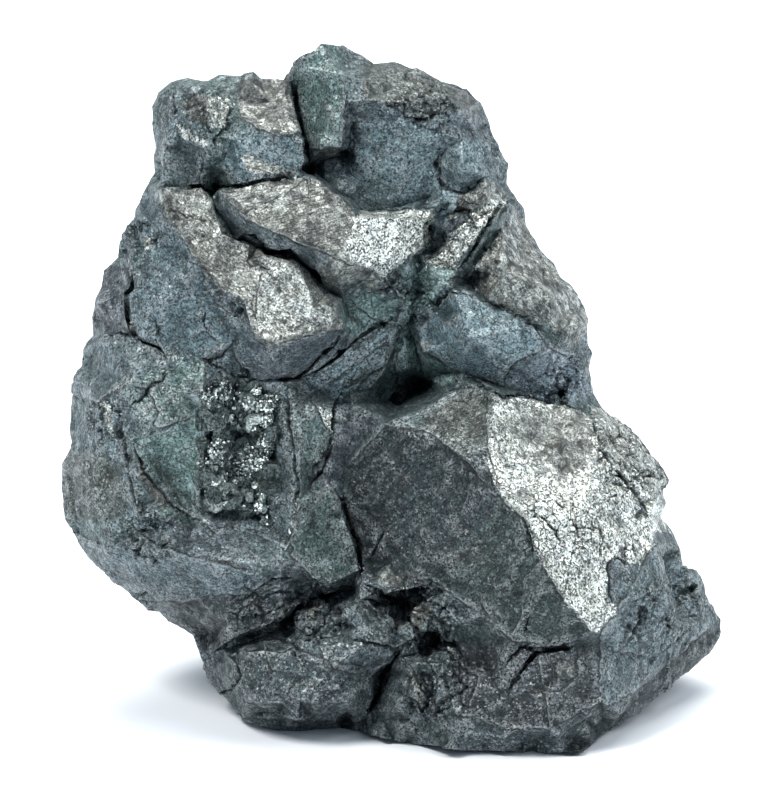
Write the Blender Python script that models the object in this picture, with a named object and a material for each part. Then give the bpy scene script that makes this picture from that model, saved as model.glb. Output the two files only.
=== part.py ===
# Argyrodite specimen: one intergrown mass of dull blue-grey crystals, about 50 mm tall, and a
# crust of tiny bright crystals in the shallow pocket of its face.
# Metres, +Z up, +X to the right, and the face looks along -Y and leans back. The origin is on
# the ground under the middle of the mass.
#
# The face is laid out on a grid of squares, 14 to the millimetre. A corner is (across, down,
# depth): squares from the left, squares from the top, and millimetres behind the foremost
# point of the face. Ridges and valleys are runs of corner names.

import math
import random
import bmesh
import bpy
from mathutils import Matrix, Vector, noise
from mathutils.bvhtree import BVHTree
from mathutils.geometry import delaunay_2d_cdt
from mathutils.kdtree import KDTree

# driving dimensions
FACE_HEIGHT = 50.6          # mm along the leaning face, from the crown's tip to the right foot
CROWN_LINE = 44             # grid line of the crown's tip
FOOT_LINE = 753             # grid line of the right foot's front edge
MIDDLE_LINE = 392           # grid line over the origin
LEAN = math.radians(18)     # the face leans back by this angle
GROUND = 2.12               # mm below the grid's foot, where the ground cuts the feet flat
MIDDLE_DEPTH = 19.8         # mm along Y from the grid's foot to the origin
NODE_GAP = 0.42             # mm kept between the crust and the mass under it
MM = 0.001

FACE_SPACING = 1.3          # mm between the corners of the face's small facets
BACK_SPACING = 2.3          # mm between those of the back
EDGE_STEP = 1.15            # mm between the points along a ridge or the outline
LONGEST_EDGE = 2.75         # mm; longer edges of the steep sides are split
ROUGHNESS = 0.11            # mm that the weathered surface wanders in and out
PLATE_SIZE = 5.5            # mm across the broken plates of the sides and the back
PLATE_STEP = 1.1            # mm between those plates
BLOCK_SIZE = 1.9            # mm across the small broken blocks of the face
RIM_WANDER = 2.6            # mm that the outline's crest wanders in depth
RIM_WAVES = 0.35            # waves of that wander to the millimetre
CREST = 0.05                # mm; a point nearer than this to the outline stays on it
CRACK_STEP = 1.0            # mm between the points along a crack
CRACK_TIP = 0.05            # share of its width that a crack keeps at its tips
CRACK_CLEARANCE = 1.25      # half widths beside a crack that hold no other point
FACE_SEED, BACK_SEED, PLATE_SEED, NOISE_SEED = 11, 23, 31, 5
OUT_IN_FRONT = -60          # mm of depth from which a ray meets the face first
BEHIND_RIM = 12             # mm of depth at which a place beside the facets is looked up
TINY = 1e-4                 # mm; corners closer than this are one

OUTLINE = [
    (152, 106, 12.5), (158, 92, 12.3), (170, 81, 12), (187, 77, 12), (208, 81, 12), (219, 75, 12),
    (241, 76, 11.8), (253, 73, 11.5), (260, 79, 11.3), (283, 79, 11), (292, 66, 9.8), (300, 57, 9),
    (312, 53, 9), (321, 44, 9.2), (343, 45, 10), (359, 54, 10.5), (374, 62, 11), (388, 60, 11),
    (403, 63, 11), (421, 71, 11.2), (441, 81, 11.5), (456, 83, 12), (467, 88, 12), (480, 102, 12.5),
    (489, 123, 13), (496, 143, 13), (508, 163, 13), (508, 183, 13), (516, 197, 13), (524, 208, 13),
    (528, 224, 13), (541, 247, 13), (552, 261, 13), (562, 278, 13.5), (572, 285, 14),
    (584, 303, 14.3), (589, 320, 14.6), (590, 342, 15), (594, 353, 15.2), (591, 368, 15.4),
    (594, 392, 15.4), (602, 404, 15), (618, 418, 15), (641, 436, 15.5), (651, 449, 16),
    (662, 466, 16.3), (670, 481, 16.5), (666, 490, 16.7), (668, 504, 17), (664, 518, 17),
    (673, 532, 17.2), (682, 551, 18), (684, 567, 18.3), (699, 571, 19), (706, 584, 19.3),
    (713, 607, 20), (724, 622, 20.5), (723, 638, 20.3), (711, 655, 19.2), (684, 680, 16.6),
    (657, 701, 14), (637, 717, 11.8), (613, 729, 9.6), (592, 744, 7.6), (583, 752, 6.8),
    (545, 753, 6.4), (500, 751, 6.4), (450, 747, 6.8), (408, 743, 8), (381, 738, 9), (358, 731, 11),
    (338, 729, 12), (300, 732, 11.2), (262, 728, 12), (242, 720, 12.6), (224, 699, 13.2),
    (207, 684, 14), (201, 661, 14.6), (191, 637, 15), (171, 626, 15.3), (158, 613, 15.5),
    (146, 613, 15.6), (134, 601, 15.6), (119, 587, 15.6), (98, 570, 15.6), (84, 556, 15.5),
    (74, 534, 15.4), (65, 520, 15.2), (61, 495, 15), (60, 464, 15), (69, 450, 15), (67, 432, 15),
    (71, 400, 15), (71, 379, 15), (77, 370, 15), (82, 366, 15), (82, 350, 15), (91, 335, 15),
    (92, 318, 15), (95, 299, 15), (103, 270, 14.8), (117, 257, 14.6), (120, 238, 14.4),
    (124, 228, 14.2), (133, 217, 14), (138, 202, 14), (147, 185, 13.6), (154, 171, 13.2),
    (153, 160, 13), (155, 148, 12.8), (152, 128, 12.6),
]

SHOULDER = {
    "s1": (176, 86, 9.6), "s2": (169, 112, 8.8), "s3": (165, 150, 8.6), "s4": (160, 187, 8.8),
    "s5": (179, 132, 7.6), "s6": (207, 147, 6.8), "s7": (222, 137, 7.2), "s8": (232, 118, 7.8),
    "s9": (224, 97, 8.8), "s11": (238, 96, 9.4), "s12": (201, 90, 7.8), "s13": (206, 112, 5.8),
    "s14": (183, 146, 8.6), "s15": (249, 84, 8.8), "s16": (286, 83, 8.8), "s17": (299, 133, 6.4),
    "s18": (274, 136, 5.6), "s19": (242, 119, 7.0), "s20": (304, 161, 6.8), "s21": (300, 177, 6.8),
    "s22": (258, 182, 6.2), "s23": (233, 186, 7.6), "s24": (216, 191, 10.5), "s25": (226, 158, 7.6),
    "s26": (243, 143, 6.6), "s27": (200, 186, 8.6), "s28": (217, 178, 9.0),
}

CROWN = {
    "k2": (292, 86, 9.6), "k3": (304, 135, 8.8), "k4": (310, 163, 9.8), "k5": (336, 74, 6.4),
    "k6": (346, 103, 6.2), "k7": (340, 116, 6.2), "k8": (341, 147, 6.4), "k9": (321, 150, 6.8),
    "k10": (310, 149, 8.4), "k11": (325, 159, 10.2), "k12": (347, 153, 10.4),
    "k13": (312, 171, 11.0), "k14": (351, 138, 9.0), "k15": (356, 116, 7.6), "k16": (365, 82, 6.0),
    "k17": (371, 101, 5.5), "k18": (403, 104, 5.5), "k19": (443, 98, 6.6), "k20": (421, 82, 7.8),
    "k21": (385, 73, 7.8), "k22": (465, 112, 7.2), "k24": (404, 120, 6.4), "k25": (441, 131, 7.0),
    "k26": (446, 149, 8.0), "k27": (360, 166, 8.8), "k28": (402, 150, 7.4), "k29": (436, 166, 9.0),
    "k30": (441, 194, 10.2), "k31": (402, 206, 9.6), "k32": (359, 213, 9.4),
    "k34": (441, 213, 12.4), "k35": (462, 164, 6.4), "k37": (459, 192, 9.6), "k38": (484, 178, 9.2),
    "k39": (462, 141, 7.2), "k40": (484, 141, 9.0), "k41": (330, 58, 7.6), "k42": (338, 190, 8.2),
}

WEDGE = {
    "g1": (221, 191, 6.8), "g2": (303, 178, 5.8), "g3": (338, 191, 5.0), "g4": (361, 218, 4.8),
    "g5": (400, 219, 6.2), "g6": (426, 222, 8.0), "g7": (216, 210, 7.8), "g8": (231, 203, 5.4),
    "g9": (250, 222, 4.6), "g10": (287, 238, 3.8), "g11": (296, 251, 4.8), "g12": (268, 249, 5.4),
    "g13": (238, 236, 7.4), "g14": (345, 262, 3.8), "g15": (328, 290, 6.0), "g16": (425, 246, 9.0),
    "g17": (398, 266, 7.2), "g18": (382, 282, 7.6), "g19": (312, 264, 5.2), "x1": (251, 245, 9.4),
    "x2": (273, 256, 8.6), "x3": (292, 254, 8.6), "x4": (313, 273, 8.6), "x5": (328, 294, 9.0),
}

BLADE = {
    "b2": (196, 188, 6.8), "b3": (211, 204, 6.8), "b4": (222, 234, 6.2), "b5": (262, 252, 6.0),
    "b6": (300, 267, 4.6), "b7": (336, 302, 4.4), "b8": (340, 331, 4.6), "b9": (280, 346, 3.6),
    "b10": (254, 333, 3.8), "b11": (246, 303, 4.4), "b12": (203, 265, 6.0), "b13": (168, 222, 7.4),
    "b14": (341, 339, 7.0), "b15": (320, 357, 8.0), "b16": (298, 377, 8.4), "b17": (264, 380, 7.6),
    "b18": (246, 374, 7.8),
}

FLANK = {
    "l1": (140, 219, 10), "l2": (149, 244, 8.8), "l3": (135, 262, 9.2), "l4": (132, 269, 9.2),
    "l5": (133, 287, 8.8), "l6": (126, 293, 8.8), "l7": (127, 318, 8.8), "l8": (132, 331, 8.4),
    "l10": (160, 300, 6.6), "l11": (203, 291, 6.4), "l12": (138, 337, 8.0), "l13": (165, 352, 7.8),
    "l15": (206, 363, 6.6), "l16": (221, 360, 6.9), "l17": (234, 343, 6.2), "l18": (241, 378, 8.4),
    "l19": (104, 337, 10.8), "l20": (128, 384, 6.8), "l21": (171, 364, 7.2), "l22": (161, 380, 6.6),
    "l23": (98, 402, 8.6), "l24": (131, 409, 6.8), "l25": (152, 431, 6.2), "l26": (205, 386, 5.8),
    "l28": (98, 300, 11.4), "l29": (115, 431, 8.6), "l30": (126, 441, 7.6), "l31": (133, 482, 6.8),
    "l32": (141, 513, 6.6), "l33": (163, 521, 6.0), "l34": (168, 478, 8.2), "l35": (193, 524, 7.6),
    "l36": (86, 440, 10.8), "l37": (92, 498, 10.0), "l39": (139, 531, 8.8), "l40": (162, 548, 6.0),
    "l41": (222, 564, 5.4), "l42": (262, 572, 5.8), "l43": (108, 553, 10.8), "l44": (228, 594, 6.8),
    "l45": (196, 600, 8.6), "l47": (165, 600, 10.6), "l48": (290, 541, 7.0), "l49": (301, 500, 6.0),
    "l50": (300, 440, 6.0), "l51": (293, 399, 7.4), "l55": (206, 412, 6.8), "l56": (203, 480, 7.8),
    "l57": (262, 525, 8.0), "p1": (228, 402, 9.2), "p2": (262, 404, 9.0), "p3": (238, 447, 10.2),
    "p4": (262, 456, 9.4), "p5": (222, 490, 9.4), "p6": (256, 498, 9.2), "p7": (277, 440, 7.6),
    "p8": (270, 500, 7.6),
}

MIDDLE = {
    "m1": (318, 408, 7.0), "m2": (333, 436, 7.8), "m3": (312, 482, 7.2), "m4": (335, 408, 8.0),
    "m5": (333, 492, 7.2), "m6": (357, 552, 8.6), "m7": (353, 586, 9.4), "m8": (300, 565, 6.8),
    "m9": (322, 586, 7.8), "m10": (352, 404, 8.8), "m11": (379, 418, 7.4), "m12": (346, 460, 8.8),
    "c1": (432, 240, 12.4), "c2": (418, 277, 12), "c3": (408, 267, 8.8), "c4": (398, 280, 9.0),
    "c5": (414, 292, 11.6), "c6": (403, 289, 8.6), "c7": (395, 313, 9.4), "c8": (411, 320, 12.6),
    "c9": (420, 350, 13.4), "c10": (428, 372, 14.6), "c11": (423, 387, 17), "c12": (404, 400, 14.6),
    "c13": (366, 291, 8.2), "c14": (349, 316, 9.2), "c22": (343, 298, 7.8), "c15": (301, 380, 8.8),
    "c16": (345, 350, 8.6), "c17": (395, 322, 10.4), "c18": (388, 362, 10.4),
    "c19": (372, 402, 11.0), "c20": (338, 403, 9.8), "c21": (362, 378, 10.2),
}

WING = {
    "w1": (486, 184, 8.4), "w2": (508, 201, 10), "w3": (482, 213, 7.0), "w4": (450, 236, 8.2),
    "w5": (430, 262, 9.6), "w6": (487, 224, 6.8), "w7": (458, 261, 7.8), "w8": (501, 228, 8.6),
    "w9": (468, 269, 8.8), "w10": (474, 280, 10.6), "w11": (503, 270, 6.4), "w12": (548, 292, 7.2),
    "w13": (560, 343, 8.8), "w14": (530, 323, 7.4), "w15": (487, 302, 7.4), "w16": (580, 326, 10.2),
    "w17": (440, 282, 8.2), "w18": (452, 288, 7.6), "w19": (436, 306, 10.4), "w20": (420, 308, 9.6),
    "w22": (532, 327, 6.8), "w23": (549, 348, 7.6), "w24": (517, 362, 7.8), "w25": (500, 386, 9.2),
    "w26": (462, 373, 9.6), "w27": (428, 349, 10), "w28": (470, 338, 6.0), "w29": (573, 358, 10.4),
    "w30": (562, 395, 13), "w31": (520, 373, 9.4), "w32": (582, 372, 11.6), "w33": (538, 396, 11),
}

HEART = {
    "h1": (385, 424, 6.6), "h3": (440, 440, 4.6), "h4": (461, 455, 3.6), "h5": (487, 447, 3.2),
    "h6": (436, 401, 7.2), "h7": (462, 388, 7.8), "h8": (480, 388, 7.2), "h9": (497, 397, 5.6),
    "h10": (490, 472, 2.4), "h11": (521, 511, 1.6), "h12": (545, 572, 1.8), "h13": (592, 630, 3.4),
    "h14": (635, 582, 6.8), "h15": (655, 546, 9.0), "h16": (601, 445, 8.0), "h17": (560, 405, 9.2),
    "h18": (522, 396, 7.6), "h19": (606, 425, 10.2), "h20": (626, 471, 8.8),
    "h21": (650, 516, 10.0), "h22": (645, 468, 12.2), "h23": (660, 500, 13), "h25": (341, 480, 8.6),
    "h26": (347, 512, 8.8), "h27": (362, 551, 9.2), "h28": (367, 574, 7.4), "h29": (385, 592, 6.6),
    "h30": (412, 588, 6.2), "h31": (432, 578, 5.2), "h32": (450, 598, 4.8), "h33": (480, 616, 4.2),
    "h34": (510, 640, 4.2), "h35": (540, 651, 4.4), "h36": (592, 645, 5.2), "h37": (622, 640, 7.2),
    "h38": (392, 495, 6.8), "h39": (450, 520, 4.2), "h42": (372, 562, 8.8), "h41": (386, 530, 7.2),
    "h43": (575, 520, 3.8), "h44": (620, 560, 6.0),
}

RIGHT_FOOT = {
    "f2": (600, 700, 5.4), "f3": (668, 610, 9.4), "f5": (545, 700, 4.6), "f6": (498, 690, 4.6),
    "f7": (452, 680, 5.6), "f8": (402, 602, 11), "f9": (420, 591, 8.2), "f10": (442, 593, 6.0),
    "f11": (412, 625, 6.4), "f12": (434, 629, 6.6), "f13": (462, 622, 5.4), "f14": (452, 642, 8.4),
    "f15": (425, 640, 9.4), "f16": (383, 672, 10.4), "f17": (410, 664, 7.0), "f18": (398, 702, 6.6),
    "f19": (420, 690, 5.6), "f20": (428, 697, 7.4), "f21": (444, 662, 6.8), "f22": (455, 712, 5.4),
    "f23": (500, 725, 4.6), "f24": (548, 728, 4.8), "f25": (374, 712, 10.4), "f26": (405, 728, 7.4),
    "f27": (660, 660, 10.6), "f28": (618, 712, 7.0),
}

LEFT_FOOT = {
    "t1": (262, 596, 7.4), "t2": (298, 606, 7.8), "t3": (280, 624, 7.2), "t4": (236, 640, 8.4),
    "t5": (210, 652, 10.8), "t6": (313, 608, 7.0), "t7": (345, 613, 7.2), "t8": (360, 598, 7.8),
    "t9": (408, 643, 6.8), "t10": (368, 640, 6.2), "t11": (300, 650, 5.8), "t12": (250, 652, 7.4),
    "t13": (300, 702, 5.8), "t14": (248, 700, 8.2), "t15": (345, 702, 6.8), "t16": (228, 678, 9.8),
    "t17": (377, 668, 8.2), "t18": (338, 662, 5.6), "t19": (300, 722, 7.4), "y1": (240, 645, 10.6),
    "y2": (268, 633, 10.6), "y3": (294, 618, 11), "y4": (306, 598, 10.6), "y5": (348, 590, 11.4),
    "y6": (330, 612, 9.6),
}

BACK_TOP = {
    "z1": (215, 140, 18.4), "z2": (262, 112, 18.0), "z3": (345, 92, 19.8), "z4": (420, 120, 21.6),
    "z5": (462, 165, 19.2), "z6": (300, 160, 21.2), "z7": (375, 185, 20.0), "z8": (180, 225, 19.4),
    "z9": (240, 220, 22.6), "z10": (330, 240, 21.4), "z11": (410, 240, 24.0),
    "z12": (480, 235, 21.8), "z13": (520, 290, 19.8),
}

BACK_MIDDLE = {
    "z14": (130, 300, 19.0), "z15": (175, 330, 22.8), "z16": (250, 300, 24.8),
    "z17": (300, 350, 23.2), "z18": (375, 310, 26.2), "z19": (440, 330, 24.2),
    "z20": (505, 350, 24.4), "z21": (550, 370, 20.6), "z22": (110, 410, 19.8),
    "z23": (160, 420, 24.2), "z24": (225, 400, 23.6), "z25": (290, 430, 27.0),
    "z26": (360, 410, 25.2), "z27": (420, 430, 28.2), "z28": (490, 430, 26.4),
    "z29": (550, 440, 25.4), "z30": (610, 470, 21.6),
}

BACK_BASE = {
    "z31": (100, 500, 19.2), "z32": (140, 520, 22.6), "z33": (200, 500, 26.2),
    "z34": (260, 510, 25.0), "z35": (330, 520, 29.0), "z36": (400, 530, 27.0),
    "z37": (470, 530, 30.0), "z38": (540, 530, 26.8), "z39": (600, 540, 26.6),
    "z40": (650, 550, 22.4), "z41": (150, 580, 20.4), "z42": (200, 590, 23.6),
    "z43": (270, 590, 28.6), "z44": (340, 600, 27.4), "z45": (420, 610, 30.6),
    "z46": (500, 610, 29.0), "z47": (570, 620, 29.8), "z48": (630, 620, 25.6),
    "z49": (685, 620, 23.6), "z50": (230, 660, 20.4), "z51": (290, 675, 27.4),
    "z52": (360, 680, 28.6), "z53": (430, 690, 29.0), "z54": (505, 685, 29.6),
    "z55": (580, 690, 27.4), "z56": (640, 680, 22.0), "z57": (250, 702, 16.2),
    "z58": (350, 706, 15.2), "z59": (440, 722, 15.4), "z60": (520, 726, 13.6),
    "z61": (600, 712, 16.4),
}

RIDGES = """
s1 s2 s3 s4
s1 s12 s9 s11
s12 s13 s8
s5 s13 s6
s2 s5 s6 s7 s8 s11
s14 s6 s25 s23
s3 s14
s14 s27
s7 s26 s19 s11 s15
s19 s18 s17 s16
s26 s22 s21 s20 s17
s26 s25
s4 s27 s28 s24 s23 s22
k2 k3 k4 k13
s16 k2
s20 k4
k3 k10 k9 k8 k7 k6 k5 k41
k9 k11 k12 k14 k15 k7
k8 k12
k10 k11
k4 k11
k5 k16 k17 k6
k16 k21 k20 k19 k18 k17
k15 k24 k18
k24 k25 k22 k19
k25 k26 k29 k30 k34
k15 k28 k24
k27 k28 k29
k14 k27 k32
k31 k32
k31 k30
k26 k39 k40 k38 k37 k29
k39 k35 k37
k38 k35 k26
k13 g2
k32 k42 k13
g1 g2 g3 g4 g5 g6
g1 g8 g9 g10 g14 g4
g1 g7 g13 g12 g11 g19 g15
g8 g13
g9 g12
g10 g11
g14 g15
g14 g18 g17 g16 g6
s23 g1
s24 g7
g5 g17
x1 x2 x3 x4 x5
g13 x1
s4 b2 b3 b4 b5 b6 b7 b8 b9 b10 b11 b12 b13 s4
b3 s24
b4 x1
b5 x2
b7 x5
b8 b14 b15 b16 b17 b18 b10
b9 b17
b11 l11
l1 b13
l1 l2 l3 l4 l5 l6 l7 l8 l12 l13 l21 l15 l16 l17 b11
l2 l10 l11 b12
l10 l13
l11 l17
l16 l18 b18
l8 l19
l19 l20 l22 l21
l20 l23 l29 l30
l20 l24 l25 l55 l26 l15
l22 l24
l25 l30
l30 l31 l32 l33 l35 l57 l48 l49 l50 l51 l18
l31 l37 l23
l36 l37
l25 l34 l35
l26 l18
l26 p1
l55 p1 p2 l51
l55 p3 p4 p7
l56 p3
p1 p3 p5
p2 p4 p6
p2 p7 l50
l56 p5 p6 p8
l56 l35
p6 l57
p8 l49
l55 l56
l32 l39 l40 l33
l43 l39
l43 l47 l45 l44 l42 l41 l40
l41 l35
l42 l48
b16 c15 c16 b14
l51 m1 m4 m2 m3 l49
m1 m2
c15 c20 m4
m3 m5 m6 m7 m9 m8 l48
m4 m10 m11 m12 m3
m12 h25 m5
m10 c19 c12
c20 m10
l42 m8
m9 y4
m11 h1 h25 h26 h27 h28 h29 h30 h31 h32 h33 h34 h35 h36 h37
h26 m5
h27 m6
h27 h42 h41
h42 h28
h1 h3 h4 h5
h1 h6 h7 h8 h9 h5
h6 c12
c12 m11
h9 h5 h10 h11 h12 h13 h14 h15 h21 h20 h16 h17 h18 h9
h11 h43 h16
h43 h44 h12
h44 h15
h17 w33
h16 h19
h20 h22 h23 h21
h3 h38 h25
h4 h39 h11
h39 h33
h13 h36
h13 h37
h14 f3 h15
h37 f3
h36 f2 f24
f2 f5 h35
h34 f6
f6 f5
f7 f6
h33 f13 f14 f21 f7
h32 f10 f9 h30
f9 f11 f12 f13
f10 f13
f9 f8 f11
f8 h29
f8 t8
f12 f14 f15 f11
f15 t9
f15 f17 f21
f16 f17 f19 f18 f25
f16 f25
f19 f20 f22
f17 f20
f7 f22 f23 f24
f3 f27 f28 f2
c16 c17 c8 c9 c10 c11 c12
c17 c18 c21 c20
c18 c10
c21 c19
c19 c12
c13 c14 b14
c13 c7 c17
g15 c22 c14
g18 c13
g17 c3 c4 c6 c7
c3 c2 c5 c6
c5 c8
c2 c1 g16
k34 c1
k30 g6
w1 w3 w4 w5 c2
w1 k38
w1 w2 w8 w9 w7 w5
w3 w6 w7
w2 w6
w4 w7
w9 w10 w15
w9 w17 w18 w15
w17 w19 w20 c5
w17 w5
w18 w19
w8 w11 w12 w13 w23
w10 w11 w15
w15 w14 w22 w28 w20
w14 w12
w14 w13
w22 w23 w24 w31 w25 w26 w27 w20
w24 w28 w26
w27 c9
w26 c10
w13 w16
w13 w29 w23
w29 w30 w33 w25
w29 w32 w30
w31 w33
w25 h8
t1 t2 t3 t4 t5
l44 t1
t5 y1 y2 y3 y4 y5
t2 y4
m7 y5
t6 y3
t6 y6 t7 t8 y5
t8 t9 t10 t7
t11 t10
t12 t11 t6
t11 t18 t10
t18 t13 t14
t12 t16 t14
y1 t12
t18 t17 t9
t13 t15 f25
t17 f16
t15 t17
t13 t19
"""

BACK_RIDGES = """
z1 z2 z3 z4 z5
z1 z6 z7 z4
z2 z6
z8 z9 z10 z11 z12 z5
z1 z9
z6 z10
z7 z11
z13 z12 z20 z21
z14 z15 z16 z17 z18 z19 z20
z9 z16 z10
z18 z11
z18 z10
z22 z23 z15
z23 z24 z17
z24 z25 z26 z27 z19
z27 z28 z29 z30
z28 z20
z29 z21
z26 z18
z31 z32 z33 z24
z33 z34 z35 z25
z35 z36 z27
z36 z37 z38 z39 z40
z37 z28
z39 z30
z41 z42 z43 z34
z42 z33
z43 z44 z45 z46 z47 z48 z49
z44 z35
z45 z37
z46 z38
z47 z39
z48 z40
z50 z51 z52 z53 z54 z55 z56
z51 z43
z52 z44
z53 z45
z54 z46
z55 z47
z56 z48
z50 z42
z57 z58 z59 z60 z61
"""

# open cracks: half width in mm, depth in mm and the grid points of their floor
CRACKS = {
    "wedge_undercut": (0.36, 1.2, [(243, 234), (253, 236), (268, 252), (279, 255), (290, 252),
        (301, 263), (317, 276), (328, 292)]),
    "blade_foot": (0.22, 0.9, [(342, 332), (336, 344), (318, 358), (299, 378), (283, 379), (262, 381),
        (247, 376)]),
    "shoulder_crown": (0.22, 0.8, [(292, 80), (297, 110), (303, 135), (309, 160), (313, 170)]),
    "shoulder_foot": (0.22, 0.7, [(160, 188), (200, 187), (213, 196), (220, 188), (245, 186),
        (262, 182), (302, 178)]),
    "purple_block": (0.2, 0.7, [(134, 262), (133, 287), (126, 293), (128, 318), (133, 333),
        (143, 342), (160, 348), (171, 363)]),
    "heart_left": (0.28, 1.0, [(344, 500), (350, 525), (358, 545), (362, 570), (357, 590)]),
    "left_foot_crack": (0.38, 1.3, [(208, 655), (236, 641), (262, 632), (290, 619), (310, 600),
        (350, 589)]),
    "mid_slit": (0.24, 0.9, [(336, 437), (328, 455), (320, 472), (313, 483)]),
    "foot_cleft": (0.34, 1.2, [(412, 640), (398, 655), (384, 672), (376, 700), (362, 722)]),
    "heart_foot": (0.34, 1.1, [(362, 585), (385, 597), (402, 606), (415, 592), (432, 583)]),
    "wing_slit": (0.24, 0.8, [(515, 199), (500, 206), (482, 232), (468, 258), (455, 272)]),
    "valley_line": (0.22, 0.7, [(300, 380), (330, 362), (358, 338), (384, 322), (400, 314)]),
    "heart_base": (0.22, 0.7, [(508, 690), (520, 670), (535, 652), (575, 646)]),
    "heart_top": (0.22, 0.7, [(462, 386), (482, 386), (503, 398), (522, 394), (545, 400), (565, 404),
        (582, 410)]),
}

# patches of small broken blocks on the face: across, down, reach in squares and step in mm
BROKEN_PATCHES = [
    (636, 468, 62, 0.9), (420, 112, 45, 0.45), (112, 292, 40, 0.5), (80, 495, 45, 0.5),
    (205, 112, 34, 0.45), (520, 722, 75, 0.5), (425, 625, 45, 0.6), (290, 700, 70, 0.4),
    (410, 292, 35, 0.5), (695, 600, 45, 0.4), (575, 385, 30, 0.6), (360, 620, 50, 0.4),
    (460, 245, 34, 0.4), (480, 150, 34, 0.4), (150, 530, 34, 0.5), (110, 415, 26, 0.5),
]

# rim of the pocket's crust, in grid squares
CRUST_RIM = [
    (209, 402), (214, 389), (225, 385), (240, 396), (261, 393), (271, 404), (274, 418),
    (268, 440), (269, 462), (264, 488), (266, 503), (257, 514), (240, 505), (225, 509),
    (213, 501), (208, 488), (207, 470), (212, 450), (214, 430),
]
PLATE_RIM_STEP = 0.55       # mm between the points of the crust plate's rim
PLATE_SPACING = 0.62        # mm between the points of its surface
PLATE_THICK = 0.55          # mm, the plate's mean thickness
PLATE_LUMPS = 0.35          # mm that the thickness wanders
LUMP_WAVES = 0.8            # waves of the thickness to the millimetre
PLATE_RIM_THICK = 0.3       # mm at the plate's rim
STEEPEST = 0.35             # the least share that a slope's normal keeps towards the face
IN_FRONT = -30              # mm of depth from which a ray meets the pocket first
CRYSTALS = {
    "count": 44, "smallest": 0.42, "largest": 0.95, "seed": 7,      # mm across
    "tries": 900, "apart": 0.42, "sunk": 0.25,      # mm between centres, share of the size
}
CUBE_SIDE = 1.15            # side of a cube crystal as a share of its size
CUBE_CUT = 0.36             # where its corner is cut, as a share of its size
OCTAHEDRON = ((1, 0, 0), (-1, 0, 0), (0, 1, 0), (0, -1, 0), (0, 0, 0.7), (0, 0, -0.7))
OCTAHEDRON_REACH = 0.8      # from its middle to a point, as a share of its size


def clear_scene():
    for item in list(bpy.data.objects):
        bpy.data.objects.remove(item, do_unlink=True)


def to_face(across, down, depth=0.0):
    """Grid squares to millimetres on the face: right, up, depth."""
    square = FACE_HEIGHT / (FOOT_LINE - CROWN_LINE)
    return Vector(((across - MIDDLE_LINE) * square, (FOOT_LINE - down) * square, depth))


def to_world(point):
    """Face millimetres to world metres: the face leans back and its foot is set on the ground."""
    away = point.z * math.cos(LEAN) + point.y * math.sin(LEAN) - MIDDLE_DEPTH
    height = point.y * math.cos(LEAN) - point.z * math.sin(LEAN) + GROUND
    return Vector((point.x, away, height)) * MM


def split_run(points, step):
    """Adds evenly spaced points along a run."""
    result = [points[0]]
    for start, end in zip(points, points[1:]):
        pieces = max(1, round((end - start).to_2d().length / step))
        for piece in range(1, pieces + 1):
            result.append(start.lerp(end, piece / pieces))
    return result


def named_runs(text, corners):
    """Each line of names becomes a list of face points."""
    runs = []
    for line in text.strip().splitlines():
        runs.append([corners[name] for name in line.split()])
    return runs


def triangulate(rim, loose, runs):
    """Flat triangulation inside the rim, with every run kept as an edge."""
    places = [point.to_2d() for point in rim]
    places += [point.to_2d() for point in loose]
    edges = []
    for run in runs:
        first = len(places)
        places += [point.to_2d() for point in run]
        edges += [(first + i, first + i + 1) for i in range(len(run) - 1)]
    loop = [list(range(len(rim)))]
    corners, _, faces, sources, _, _ = delaunay_2d_cdt(places, edges, loop, 1, TINY)
    return corners, faces, sources


def plain_facets(rim, corners, runs):
    """Tree of the large plain facets that the corners span."""
    solid = list(rim) + list(corners)
    for run in runs:
        solid += run
    places, faces, sources = triangulate(rim, corners, runs)
    points = [Vector((p.x, p.y, solid[s[0]].z)) for p, s in zip(places, sources)]
    return BVHTree.FromPolygons(points, faces)


def facet_depth(tree, place):
    """Depth of the plain facets under a place on the face."""
    hit = tree.ray_cast(Vector((place.x, place.y, OUT_IN_FRONT)), Vector((0, 0, 1)))
    if hit[0] is None:
        hit = tree.find_nearest(Vector((place.x, place.y, BEHIND_RIM)))
    return hit[0].z


def line_distance(place, line):
    """Distance from a line and how far along it the nearest spot is, in mm."""
    best = (1e9, 0.0)
    walked = 0.0
    for start, end in zip(line, line[1:]):
        side = end - start
        share = max(0.0, min(1.0, (place - start).dot(side) / side.length_squared))
        away = (start + side * share - place).length
        if away < best[0]:
            best = (away, walked + side.length * share)
        walked += side.length
    return best


def along_crack(place, crack):
    """Distance from the crack's line and how far open it is there, 0 to 1."""
    away, walked = line_distance(place, crack["line"])
    reach = walked / crack["length"]
    return away, min(1.0, 4 * reach, 4 * (1 - reach))


def crack_depth(place, cracks):
    """How far the cracks lower the surface at a place."""
    deepest = 0.0
    for crack in cracks:
        away, opening = along_crack(place, crack)
        width = crack["half_width"] * max(opening, CRACK_TIP)
        deepest = max(deepest, crack["depth"] * opening * (1 - away / width))
    return deepest


def make_cracks():
    """Cracks with their lines in face millimetres."""
    cracks = []
    for half_width, depth, points in CRACKS.values():
        line = [to_face(across, down).to_2d() for across, down in points]
        length = sum((b - a).length for a, b in zip(line, line[1:]))
        cracks.append({"half_width": half_width, "depth": depth, "line": line, "length": length})
    return cracks


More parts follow.
